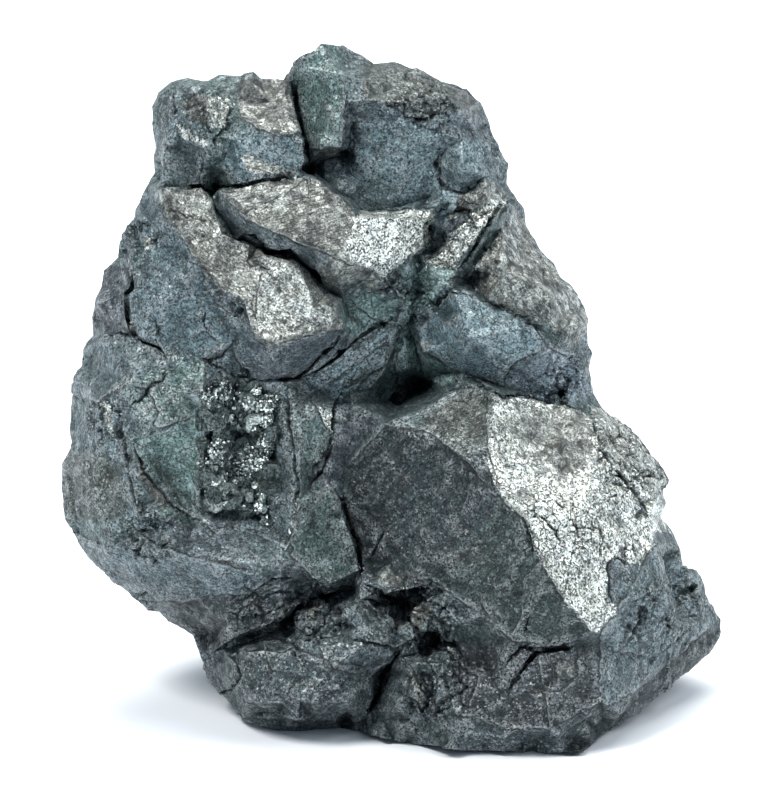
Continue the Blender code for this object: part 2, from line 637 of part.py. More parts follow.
def crack_runs(crack):
    """The floor and both lips of a crack as runs of points."""
    floor = split_run([point.to_3d() for point in crack["line"]], CRACK_STEP)
    lips = ([], [])
    for i, point in enumerate(floor):
        before = floor[max(i - 1, 0)]
        after = floor[min(i + 1, len(floor) - 1)]
        side = (after - before).to_2d().orthogonal().normalized()
        opening = along_crack(point.to_2d(), crack)[1]
        width = crack["half_width"] * max(opening, CRACK_TIP)
        if 0 < i < len(floor) - 1:
            lips[0].append(point + (side * width).to_3d())
            lips[1].append(point - (side * width).to_3d())
    return [floor, [floor[0]] + lips[0] + [floor[-1]], [floor[0]] + lips[1] + [floor[-1]]]


def near_crack(place, cracks):
    for crack in cracks:
        if along_crack(place, crack)[0] < crack["half_width"] * CRACK_CLEARANCE:
            return True
    return False


def clear_runs(runs, cracks):
    """Ridge runs without their points inside a crack."""
    kept = []
    for run in runs:
        part = []
        for point in run:
            if near_crack(point.to_2d(), cracks):
                if len(part) > 1:
                    kept.append(part)
                part = []
            else:
                part.append(point)
        if len(part) > 1:
            kept.append(part)
    return kept


def scatter(rim, taken, spacing, seed, cracks):
    """Jittered points between the runs."""
    chance = random.Random(seed)
    tree = KDTree(len(taken))
    for i, point in enumerate(taken):
        tree.insert(point.to_2d().to_3d(), i)
    tree.balance()
    flat = BVHTree.FromPolygons([p.to_2d().to_3d() for p in rim], [list(range(len(rim)))])
    points = []
    left, right = min(p.x for p in rim), max(p.x for p in rim)
    low, high = min(p.y for p in rim), max(p.y for p in rim)
    rows = int((high - low) / (spacing * 0.87))
    for row in range(rows):
        for column in range(int((right - left) / spacing) + 1):
            x = left + (column + 0.5 * (row % 2) + chance.uniform(-0.27, 0.27)) * spacing
            y = low + (row + chance.uniform(-0.27, 0.27)) * spacing * 0.87
            place = Vector((x, y, 0))
            inside = flat.ray_cast(Vector((x, y, -1)), Vector((0, 0, 1)))[0] is not None
            if not inside or tree.find(place)[2] < spacing * 0.55:
                continue
            if near_crack(place.to_2d(), cracks):
                continue
            points.append(place)
    return points


def make_sheet(rim, corners, runs, cracks, spacing, seed):
    """One side of the mass: small facets that follow the ridges, the cracks and the rim."""
    tree = plain_facets(rim, corners.values(), runs)
    fine = clear_runs([split_run(run, EDGE_STEP) for run in runs], cracks)
    for crack in cracks:
        fine += crack_runs(crack)
    taken = list(rim)
    for run in fine:
        taken += run
    loose = [c for c in corners.values() if not near_crack(c.to_2d(), cracks)]
    loose += scatter(rim, taken + loose, spacing, seed, cracks)
    places, faces, sources = triangulate(rim, loose, fine)
    points = []
    for place, source in zip(places, sources):
        if source and source[0] < len(rim):
            points.append((source[0], rim[source[0]]))
        else:
            depth = facet_depth(tree, place) + crack_depth(place, cracks)
            points.append((None, Vector((place.x, place.y, depth))))
    return points, faces


def broken(point, plate, step):
    """Lift of the broken plate that a point belongs to; every plate is tilted its own way."""
    seat = noise.voronoi(point / plate)[1][0]
    tilt = noise.noise_vector(seat * 5.1)
    return step * (noise.noise(seat * 3.7) + 1.5 * tilt.dot(point / plate - seat))


def patch_share(point):
    """How strongly a point belongs to the face's patches of small broken blocks, in mm of step."""
    step = 0.0
    for across, down, reach, height in BROKEN_PATCHES:
        middle = to_face(across, down)
        share = 1 - (point.to_2d() - middle.to_2d()).length / to_face(MIDDLE_LINE + reach, 0).x
        step = max(step, height * min(1.0, 2.5 * share))
    return step


def roughen(point, normal):
    """Moves a point of the surface in or out, as broken grain and weathering leave it."""
    turned_away = 1 - max(0.0, -normal.z)
    worn = noise.fractal(point * 0.3, 0.8, 2.1, 3) * ROUGHNESS
    plates = broken(point, PLATE_SIZE, PLATE_STEP) * min(1.0, 1.6 * turned_away ** 2)
    blocks = broken(point, BLOCK_SIZE, patch_share(point)) if normal.z < 0.2 else 0.0
    lift = worn + plates + blocks
    if turned_away > 0.35 and normal.z < 0.35:
        lift = min(lift, 0.05)      # the steep sides stay behind the outline
    return point + normal * lift


def split_long_edges(mesh):
    """Breaks up the long facets of the steep sides."""
    for _ in range(3):
        long = [edge for edge in mesh.edges if edge.calc_length() > LONGEST_EDGE]
        bmesh.ops.subdivide_edges(mesh, edges=long, cuts=1)
        bmesh.ops.triangulate(mesh, faces=mesh.faces)


def close_mass(rim, front, back):
    """Joins the two sheets along the rim into one closed mesh, in face millimetres."""
    mesh = bmesh.new()
    shared = [mesh.verts.new(point) for point in rim]
    for (points, faces), turned in ((front, False), (back, True)):
        corners = []
        for index, point in points:
            corners.append(shared[index] if index is not None else mesh.verts.new(point))
        for face in faces:
            loop = [corners[i] for i in face]
            mesh.faces.new(loop[::-1] if turned else loop)
    face_outward(mesh)
    split_long_edges(mesh)
    mesh.normal_update()
    moved = [roughen(vert.co, vert.normal) for vert in mesh.verts]
    crest = [point.to_2d() for point in rim + rim[:1]]
    for vert, place in zip(mesh.verts, moved):
        if line_distance(vert.co.to_2d(), crest)[0] > CREST:
            vert.co = place
    return mesh


def face_outward(mesh):
    """Turns every face outward, whichever way the solver left them."""
    bmesh.ops.recalc_face_normals(mesh, faces=mesh.faces)
    if mesh.calc_volume(signed=True) < 0:
        bmesh.ops.reverse_faces(mesh, faces=mesh.faces)


def cut_feet(mesh):
    """Cuts the feet flat on the ground and fills the cut."""
    everything = mesh.verts[:] + mesh.edges[:] + mesh.faces[:]
    cut = bmesh.ops.bisect_plane(
        mesh, geom=everything, dist=1e-7, plane_co=(0, 0, 0), plane_no=(0, 0, -1),
        clear_outer=True)
    rim = [item for item in cut["geom_cut"] if isinstance(item, bmesh.types.BMEdge)]
    for item in cut["geom_cut"]:
        if isinstance(item, bmesh.types.BMVert):
            item.co.z = 0.0
    bmesh.ops.triangle_fill(mesh, edges=rim, use_beauty=True, use_dissolve=False)
    bmesh.ops.triangulate(mesh, faces=mesh.faces)
    face_outward(mesh)


def stone(name, colour, roughness, metallic):
    material = bpy.data.materials.new(name)
    material.use_nodes = True
    shader = material.node_tree.nodes["Principled BSDF"]
    shader.inputs["Base Color"].default_value = (*colour, 1)
    shader.inputs["Roughness"].default_value = roughness
    shader.inputs["Metallic"].default_value = metallic
    return material


def add_node(name, mesh, material):
    data = bpy.data.meshes.new(name)
    mesh.to_mesh(data)
    mesh.free()
    node = bpy.data.objects.new(name, data)
    node.data.materials.append(material)
    bpy.context.scene.collection.objects.link(node)
    return node


def make_mass():
    """The whole intergrown mass."""
    rim = [to_face(*point) for point in OUTLINE]
    rim = split_run(rim + rim[:1], EDGE_STEP)[:-1]
    for point in rim:
        point.z += RIM_WANDER * noise.noise(point.to_2d().to_3d() * RIM_WAVES)
    face_corners = {}
    for region in (SHOULDER, CROWN, WEDGE, BLADE, FLANK, MIDDLE, WING, HEART,
                   RIGHT_FOOT, LEFT_FOOT):
        face_corners.update({name: to_face(*place) for name, place in region.items()})
    back_corners = {}
    for region in (BACK_TOP, BACK_MIDDLE, BACK_BASE):
        back_corners.update({name: to_face(*place) for name, place in region.items()})
    front = make_sheet(rim, face_corners, named_runs(RIDGES, face_corners), make_cracks(),
                       FACE_SPACING, FACE_SEED)
    back = make_sheet(rim, back_corners, named_runs(BACK_RIDGES, back_corners), [],
                      BACK_SPACING, BACK_SEED)
    mesh = close_mass(rim, front, back)
    tree = BVHTree.FromBMesh(mesh)
    for vert in mesh.verts:
        vert.co = to_world(vert.co)
    cut_feet(mesh)
    return mesh, tree


def crust_plate(tree, rim):
    """The crust's matrix: a thin closed plate that follows the pocket's floor."""
    outline = split_run(rim + rim[:1], PLATE_RIM_STEP)[:-1]
    loose = scatter(outline, outline, PLATE_SPACING, PLATE_SEED, [])
    places, faces, sources = triangulate(outline, loose, [])
    mesh = bmesh.new()
    tops, floors = [], []
    for place, source in zip(places, sources):
        start = Vector((place.x, place.y, IN_FRONT))
        under, normal, _, _ = tree.ray_cast(start, Vector((0, 0, 1)))
        floor = under.z - NODE_GAP / max(STEEPEST, abs(normal.z))
        lumps = noise.noise(Vector((place.x, place.y, 0)) * LUMP_WAVES)
        thickness = PLATE_THICK + PLATE_LUMPS * lumps
        if source[0] < len(outline):
            thickness = PLATE_RIM_THICK
        tops.append(mesh.verts.new((place.x, place.y, floor - thickness)))
        floors.append(mesh.verts.new((place.x, place.y, floor)))
    for face in faces:
        mesh.faces.new([tops[i] for i in face])
        mesh.faces.new([floors[i] for i in reversed(face)])
    where = {source[0]: i for i, source in enumerate(sources) if source[0] < len(outline)}
    for i in range(len(outline)):
        a, b = where[i], where[(i + 1) % len(outline)]
        mesh.faces.new([tops[b], tops[a], floors[a], floors[b]])
    bmesh.ops.triangulate(mesh, faces=mesh.faces)
    face_outward(mesh)
    return mesh


def crystal(size, kind, turn):
    """One tiny crystal: a cube with an off-cut corner or an octahedron."""
    mesh = bmesh.new()
    if kind == 0:
        bmesh.ops.create_cube(mesh, size=size * CUBE_SIDE)
        corner = Vector((1, 1, 1)) * size * CUBE_CUT
        cut = bmesh.ops.bisect_plane(
            mesh, geom=mesh.verts[:] + mesh.edges[:] + mesh.faces[:], dist=1e-6,
            plane_co=corner, plane_no=corner, clear_outer=True)
        rim = [item for item in cut["geom_cut"] if isinstance(item, bmesh.types.BMEdge)]
        bmesh.ops.contextual_create(mesh, geom=rim)
    else:
        points = [Vector(axis) * size * OCTAHEDRON_REACH for axis in OCTAHEDRON]
        corners = [mesh.verts.new(point) for point in points]
        bmesh.ops.convex_hull(mesh, input=corners)
    bmesh.ops.rotate(mesh, verts=mesh.verts, matrix=turn)
    bmesh.ops.triangulate(mesh, faces=mesh.faces)
    face_outward(mesh)
    return mesh


def clear_of_mass(points, tree):
    """True when every point stands at least the node gap in front of the mass."""
    for point in points:
        near, normal, _, distance = tree.find_nearest(point)
        if distance < NODE_GAP * 0.9 or (point - near).dot(normal) < 0:
            return False
    return True


def crystal_places(tree, plate, rim):
    """Seeded places, sizes and turns of the crystals that grow out of the plate."""
    chance = random.Random(CRYSTALS["seed"])
    top = BVHTree.FromBMesh(plate)
    left, right = min(p.x for p in rim), max(p.x for p in rim)
    low, high = min(p.y for p in rim), max(p.y for p in rim)
    placed = []
    for _ in range(CRYSTALS["tries"]):
        x, y = chance.uniform(left, right), chance.uniform(low, high)
        size = chance.uniform(CRYSTALS["smallest"], CRYSTALS["largest"])
        axis = Vector((chance.gauss(0, 1), chance.gauss(0, 1), chance.gauss(0, 1)))
        turn = Matrix.Rotation(chance.uniform(0, math.pi), 3, axis)
        kind = chance.randrange(3)
        hit = top.ray_cast(Vector((x, y, IN_FRONT)), Vector((0, 0, 1)))[0]
        if hit is None or len(placed) == CRYSTALS["count"]:
            continue
        centre = hit - Vector((0, 0, size * chance.uniform(0.0, CRYSTALS["sunk"])))
        if any((centre - other).length < CRYSTALS["apart"] for other, _ in placed):
            continue
        shape = crystal(size, kind, turn)
        bmesh.ops.translate(shape, verts=shape.verts, vec=centre)
        if clear_of_mass([vert.co for vert in shape.verts], tree):
            placed.append((centre, shape))
    return [shape for _, shape in placed]


def join_crystals(crust, crystals, material):
    """Grows the crystals and the plate into one solid."""
    bpy.context.view_layer.objects.active = crust
    for shape in crystals:
        cutter = add_node("crystal", shape, material)
        cutter.hide_render = True
        cutter.display_type = "WIRE"
        join = crust.modifiers.new("grow", "BOOLEAN")
        join.operation = "UNION"
        join.solver = "EXACT"
        join.object = cutter
        bpy.ops.object.modifier_apply(modifier=join.name)
        bpy.data.objects.remove(cutter, do_unlink=True)


def keep_outer_shell(mesh):
    """Drops the small closed shells that the joined crystals shut in."""
    left = set(mesh.verts)
    shells = []
    while left:
        start = left.pop()
        shell, queue = {start}, [start]
        while queue:
            for edge in queue.pop().link_edges:
                for vert in edge.verts:
                    if vert in left:
                        left.remove(vert)
                        shell.add(vert)
                        queue.append(vert)
        shells.append(shell)
    shells.sort(key=len)
    for shell in shells[:-1]:
        bmesh.ops.delete(mesh, geom=list(shell), context="VERTS")


def make_crust(tree, material):
    """The pocket's crust of tiny crystals."""
    rim = [to_face(*place) for place in CRUST_RIM]
    plate = crust_plate(tree, rim)
    crystals = crystal_places(tree, plate, rim)
    crust = add_node("pocket_crust", plate, material)
    join_crystals(crust, crystals, material)
    mesh = bmesh.new()
    mesh.from_mesh(crust.data)
    bmesh.ops.dissolve_degenerate(mesh, dist=1e-4, edges=mesh.edges)
    bmesh.ops.triangulate(mesh, faces=mesh.faces)
    keep_outer_shell(mesh)
    for vert in mesh.verts:
        vert.co = to_world(vert.co)
    face_outward(mesh)
    mesh.to_mesh(crust.data)
    mesh.free()


def build():
    clear_scene()
    noise.seed_set(NOISE_SEED)
    dull = stone("dull_argyrodite", (0.10, 0.12, 0.135), 0.5, 0.6)
    bright = stone("bright_crystals", (0.33, 0.33, 0.31), 0.3, 0.8)
    mass, tree = make_mass()
    add_node("argyrodite_mass", mass, dull)
    make_crust(tree, bright)


build()
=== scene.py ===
import math
import random
import bmesh
import bpy
import numpy as np
from mathutils import Matrix, Vector, noise
from mathutils.bvhtree import BVHTree


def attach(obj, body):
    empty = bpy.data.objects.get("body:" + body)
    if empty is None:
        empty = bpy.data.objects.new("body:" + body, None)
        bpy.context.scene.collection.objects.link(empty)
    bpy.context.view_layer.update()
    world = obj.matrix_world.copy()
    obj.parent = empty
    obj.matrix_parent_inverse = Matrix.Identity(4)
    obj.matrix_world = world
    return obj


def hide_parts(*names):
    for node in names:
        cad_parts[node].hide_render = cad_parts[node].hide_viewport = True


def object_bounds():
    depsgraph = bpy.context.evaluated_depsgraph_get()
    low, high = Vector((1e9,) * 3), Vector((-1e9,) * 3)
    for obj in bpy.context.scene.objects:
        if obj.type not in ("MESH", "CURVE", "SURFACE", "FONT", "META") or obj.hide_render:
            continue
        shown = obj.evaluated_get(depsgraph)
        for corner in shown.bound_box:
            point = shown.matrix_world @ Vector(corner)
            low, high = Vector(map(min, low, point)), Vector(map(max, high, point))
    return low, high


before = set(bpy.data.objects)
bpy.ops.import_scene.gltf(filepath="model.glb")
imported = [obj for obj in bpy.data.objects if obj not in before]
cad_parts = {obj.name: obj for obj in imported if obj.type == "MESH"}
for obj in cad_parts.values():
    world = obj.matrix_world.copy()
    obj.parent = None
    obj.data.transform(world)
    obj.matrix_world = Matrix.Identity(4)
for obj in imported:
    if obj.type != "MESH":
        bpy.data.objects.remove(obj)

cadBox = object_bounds()
noise.seed_set(5)

# the face grid that the specimen is laid out on: squares across and down from its top left,
# and depth in mm behind the foremost point of the face
face = {
    "height": 50.6,  # mm from the crown's tip to the right foot, along the face
    "crownLine": 44, "footLine": 753, "middleLine": 392,
    "lean": math.radians(18),  # the face leans back
    "ground": 2.12, "middleDepth": 19.8,
}
square = face["height"] / (face["footLine"] - face["crownLine"])  # mm
leanCos = math.cos(face["lean"])
leanSin = math.sin(face["lean"])


# grid place to world metres
def toWorld(across, down, depth):
    x = (across - face["middleLine"]) * square
    up = (face["footLine"] - down) * square
    away = depth * leanCos + up * leanSin - face["middleDepth"]
    high = up * leanCos - depth * leanSin + face["ground"]
    return Vector((x, away, high)) * 0.001


# world metres, one row each, to squares across, squares down and mm of depth
def toGrid(points):
    x, away, high = (points * 1000).T
    away = away + face["middleDepth"]
    high = high - face["ground"]
    up = away * leanSin + high * leanCos
    depth = away * leanCos - high * leanSin
    return x / square + face["middleLine"], face["footLine"] - up / square, depth


# 1 where a normal points out of the face, -1 where it points to the back
def facesViewer(normals):
    return -normals[:, 1] * leanCos + normals[:, 2] * leanSin


def selectOnly(item):
    bpy.ops.object.select_all(action="DESELECT")
    item.select_set(True)
    bpy.context.view_layer.objects.active = item


# one row of numbers for each vertex, normal or edge of a mesh
def rowsOf(items, name, width=3, kind=np.float32):
    flat = np.empty(len(items) * width, kind)
    items.foreach_get(name, flat)
    return flat.reshape(-1, width)


def coordinates(mesh):
    return rowsOf(mesh.vertices, "co").astype(np.float64)


def setCoordinates(mesh, points):
    mesh.vertices.foreach_set("co", points.astype(np.float32).ravel())
    mesh.update()


def normalsOf(mesh):
    return rowsOf(mesh.vertex_normals, "vector").astype(np.float64)


def addAttribute(mesh, name, values, kind="FLOAT", field="value"):
    layer = mesh.attributes.new(name, kind, "POINT")
    layer.data.foreach_set(field, values.astype(np.float32).ravel())


def addColours(mesh, name, values):
    layer = mesh.color_attributes.new(name, "FLOAT_COLOR", "POINT")
    rgba = np.ones((len(values), 4), np.float32)
    rgba[:, :3] = values
    layer.data.foreach_set("color", rgba.ravel())


# a bmesh of a mesh, with the points that share a place joined
def weldedShape(mesh):
    shape = bmesh.new()
    shape.from_mesh(mesh)
    bmesh.ops.remove_doubles(shape, verts=shape.verts, dist=1e-7)
    return shape


# for each point, the sum of the points at the other ends of its edges
def neighbourSum(points, edges):
    total = np.zeros_like(points)
    np.add.at(total, edges[:, 0], points[edges[:, 1]])
    np.add.at(total, edges[:, 1], points[edges[:, 0]])
    return total


def smoothStep(values, low, high):
    share = np.clip((values - low) / (high - low), 0, 1)
    return share * share * (3 - 2 * share)


# 1 in the middle of a round patch of the face and 0 from its reach on, fading towards its edge
def patchShare(x, y, across, down, reach, fade):
    return smoothStep(1 - np.hypot(x - across, y - down) / reach, 0, fade)


# places in a noise pattern with features of the given size in mm, moved along by the start
def patternSpots(points, size, start):
    shift = Vector((start, start * 0.7, -start))
    return [Vector(p) * (1000 / size) + shift for p in points]


# soft noise, about -1 to 1
def noiseAt(points, size, start):
    return np.array([noise.noise(spot) for spot in patternSpots(points, size, start)])


def fractalAt(points, size, octaves, start):
    spots = patternSpots(points, size, start)
    return np.array([noise.fractal(spot, 0.8, 2.1, octaves) for spot in spots])


cellSteps = {"stand": 3.7, "tilt": 5.1}  # so that a cell's height and tilt don't go together


# the cells round some spots: how high each cell stands, how it tilts at the spot, and how
# far the spot is from the cell's edge
def cellsAt(spots):
    found = np.empty((len(spots), 3))
    for i, spot in enumerate(spots):
        spot = Vector(spot)
        away, seats = noise.voronoi(spot)
        tilt = noise.noise_vector(seats[0] * cellSteps["tilt"]).dot(spot - seats[0])
        found[i] = noise.noise(seats[0] * cellSteps["stand"]), tilt, away[1] - away[0]
    return found.T


# the cells of a pattern with the given size in mm, moved along by the start
def blocksAt(points, size, start):
    return cellsAt(points * 1000 / size + start * np.array([1, -1, 0.3]))


# distance in squares from a line of grid places, the share of the way along it, and the side
# of the walk; places further than the reach from the line's box are left at the reach
def polylineDistance(x, y, line, closed=False, reach=20):
    points = np.array(line, float)
    if closed:
        points = np.vstack([points, points[:1]])
    low, high = points.min(0) - reach, points.max(0) + reach
    near = np.flatnonzero((x > low[0]) & (x < high[0]) & (y > low[1]) & (y < high[1]))
    px, py = x[near], y[near]
    starts, ends = points[:-1], points[1:]
    lengths = np.hypot(*(ends - starts).T)
    walked = np.concatenate([[0], np.cumsum(lengths)])
    best = np.full(len(near), float(reach))
    along = np.zeros(len(near))
    side = np.ones(len(near))
    for start, end, length, before in zip(starts, ends, lengths, walked):
        stepX, stepY = (end - start) / max(length, 1e-9)
        right, below = px - start[0], py - start[1]
        at = np.clip(right * stepX + below * stepY, 0, length)
        away = np.hypot(right - stepX * at, below - stepY * at)
        nearer = away < best
        best[nearer] = away[nearer]
        along[nearer] = (before + at[nearer]) / walked[-1]
        side[nearer] = np.sign(stepX * below - stepY * right)[nearer]
    result = np.array([[float(reach)], [0], [1]]).repeat(len(x), 1)
    result[:, near] = best, along, side
    return result


# signed distance in squares from an outline of grid places, positive inside it
def signedDistance(x, y, outline, reach=20):
    points = np.array(outline, float)
    signed = np.full(len(x), -float(reach))
    low, high = points.min(0) - reach, points.max(0) + reach
    near = np.flatnonzero((x > low[0]) & (x < high[0]) & (y > low[1]) & (y < high[1]))
    px, py = x[near], y[near]
    inside = np.zeros(len(near), bool)
    for (ax, ay), (bx, by) in zip(points, np.roll(points, -1, 0)):
        crosses = (ay > py) != (by > py)
        at = ax + (py - ay) * (bx - ax) / (by - ay + 1e-12)
        inside ^= crosses & (px < at)
    away = polylineDistance(px, py, outline, closed=True, reach=reach)[0]
    signed[near] = np.where(inside, away, -away)
    return signed


# 1 inside an outline of grid places, 0 outside, blurred over a few squares at its edge
def insideShare(x, y, outline, blur):
    return smoothStep(signedDistance(x, y, outline), -blur, blur)


mass = {
    "faceEdge": 0.62,  # mm between points on the smooth facets
    "roughEdge": 0.42,  # mm where the face is rough
    "blockEdge": 0.22,  # mm where it is broken into small blocks
    "crackEdge": 0.19,  # mm beside the cracks
    "backEdge": 0.9,  # mm on the sides and the back
    "sharp": 11,  # degrees; edges sharper than this stay crisp
    "splits": 6,  # rounds of splitting long edges, at most
    "seenFrom": -0.2, "frontFrom": 0.15,  # how squarely these parts face the viewer
    "blockyFrom": 0.6,  # how broken a place is where the rough edges start
    "patchInside": 0.92,  # share of a patch's reach that gets the small edges
    "crackMargins": (0.35, 0.08),  # mm beside a crack, before and after it wanders
    "planes": (3.3, 11.0),  # mm between the broken planes, and where their pattern starts
    "planeTilt": 0.363,  # mm that a plane rises over its size
    "blockTilt": 1.4,  # how much a small plate tilts beside how far it stands up
    "crease": 9,  # degrees; creases sharper than this are shaded sharp
    "softening": 3,  # passes that flatten the small facets between the sharp edges
    "freeShare": 0.6, "ridgeShare": 0.3,  # how far a pass moves a point in a facet, on a ridge
    "grain": 0.022,  # mm, the coarse grain of the whole surface
    "grainPattern": (0.6, 3, 5.0),  # its size in mm, octaves and start
    "pitPattern": (0.8, 60.0),  # small pits: size in mm and start
    # pits start above this noise, sink so many mm, and get this much painted shade
    "pitFrom": 0.42, "pitDepth": 0.45, "pitDark": 2,
    "clefts": 7,  # squares that a closer wall fades over
    "turnFrom": 0.05, "turnTo": 0.3,  # how squarely carved parts face the viewer
    # small plates: mm across, start of the pattern, mm of lift in broken patches and elsewhere
    "blocks": [(1.25, 0.0, 0.09, 0.035), (0.6, 40.0, 0.045, 0.0)],
}


# splits every edge that is longer than wanted at its middle, round by round
def splitLongEdges(mesh, wanted, shortest, rounds):
    shape = weldedShape(mesh)
    for _ in range(rounds):
        shape.normal_update()
        ends = [edge.verts for edge in shape.edges]
        first = np.array([tuple(a.co) for a, b in ends])
        second = np.array([tuple(b.co) for a, b in ends])
        normals = np.array([tuple((a.normal + b.normal).normalized()) for a, b in ends])
        lengths = np.linalg.norm(first - second, axis=1) * 1000
        some = np.flatnonzero(lengths > shortest)
        tooLong = lengths[some] > wanted((first[some] + second[some]) / 2, normals[some])
        edges = list(shape.edges)
        long = [edges[i] for i in some[tooLong]]
        if not long:
            break
        bmesh.ops.subdivide_edges(shape, edges=long, cuts=1)
        bmesh.ops.triangulate(shape, faces=[f for f in shape.faces if len(f.verts) > 3])
        print("  split", len(long), "edges,", len(shape.faces), "faces")
    shape.to_mesh(mesh)
    shape.free()


# the longest edge in mm that is wanted at each point
def fineEdges(points, normals):
    x, y = toGrid(points)[:2]
    facing = facesViewer(normals)
    seen = facing > mass["seenFrom"]
    front = facing > mass["frontFrom"]
    wanted = np.where(seen, mass["faceEdge"], mass["backEdge"])
    rough = blockyShare(x, y, front) > mass["blockyFrom"]
    wanted[rough & seen] = mass["roughEdge"]
    broken = np.zeros(len(x), bool)
    for across, down, reach in (patch[:3] for patch in fragments):
        broken |= np.hypot(x - across, y - down) < mass["patchInside"] * reach
    wanted[broken & front] = mass["blockEdge"]
    wide, narrow = mass["crackMargins"]
    near = np.flatnonzero(front & (crackShape(x, y, wide)[1] > 0))
    bentX, bentY = wander(points[near], x[near], y[near])
    dark = crackShape(bentX, bentY, narrow)[1]
    wanted[near[dark > 0]] = mass["crackEdge"]
    return wanted


# flattens the small facets, but keeps the sharp edges and the flat under the feet
def softenFacets(mesh):
    shape = bmesh.new()
    shape.from_mesh(mesh)
    limit = math.radians(mass["sharp"])
    shape.edges.index_update()
    sharp = np.array([e.calc_face_angle(0.0) > limit for e in shape.edges])
    edges = np.array([(e.verts[0].index, e.verts[1].index) for e in shape.edges])
    points = np.array([v.co for v in shape.verts])
    count = len(points)
    shape.free()
    ends = np.bincount(edges[sharp].ravel(), minlength=count)
    ground = points[:, 2] < 1e-6
    free = (ends == 0) & ~ground
    ridge = (ends == 2) & ~ground
    links = np.bincount(edges.ravel(), minlength=count)[:, None]
    for _ in range(mass["softening"]):
        around = neighbourSum(points, edges) / links
        along = neighbourSum(points, edges[sharp]) / 2
        moved = points.copy()
        moved[free] += mass["freeShare"] * (around[free] - points[free])
        moved[ridge] += mass["ridgeShare"] * (along[ridge] - points[ridge])
        points = moved
    setCoordinates(mesh, points)


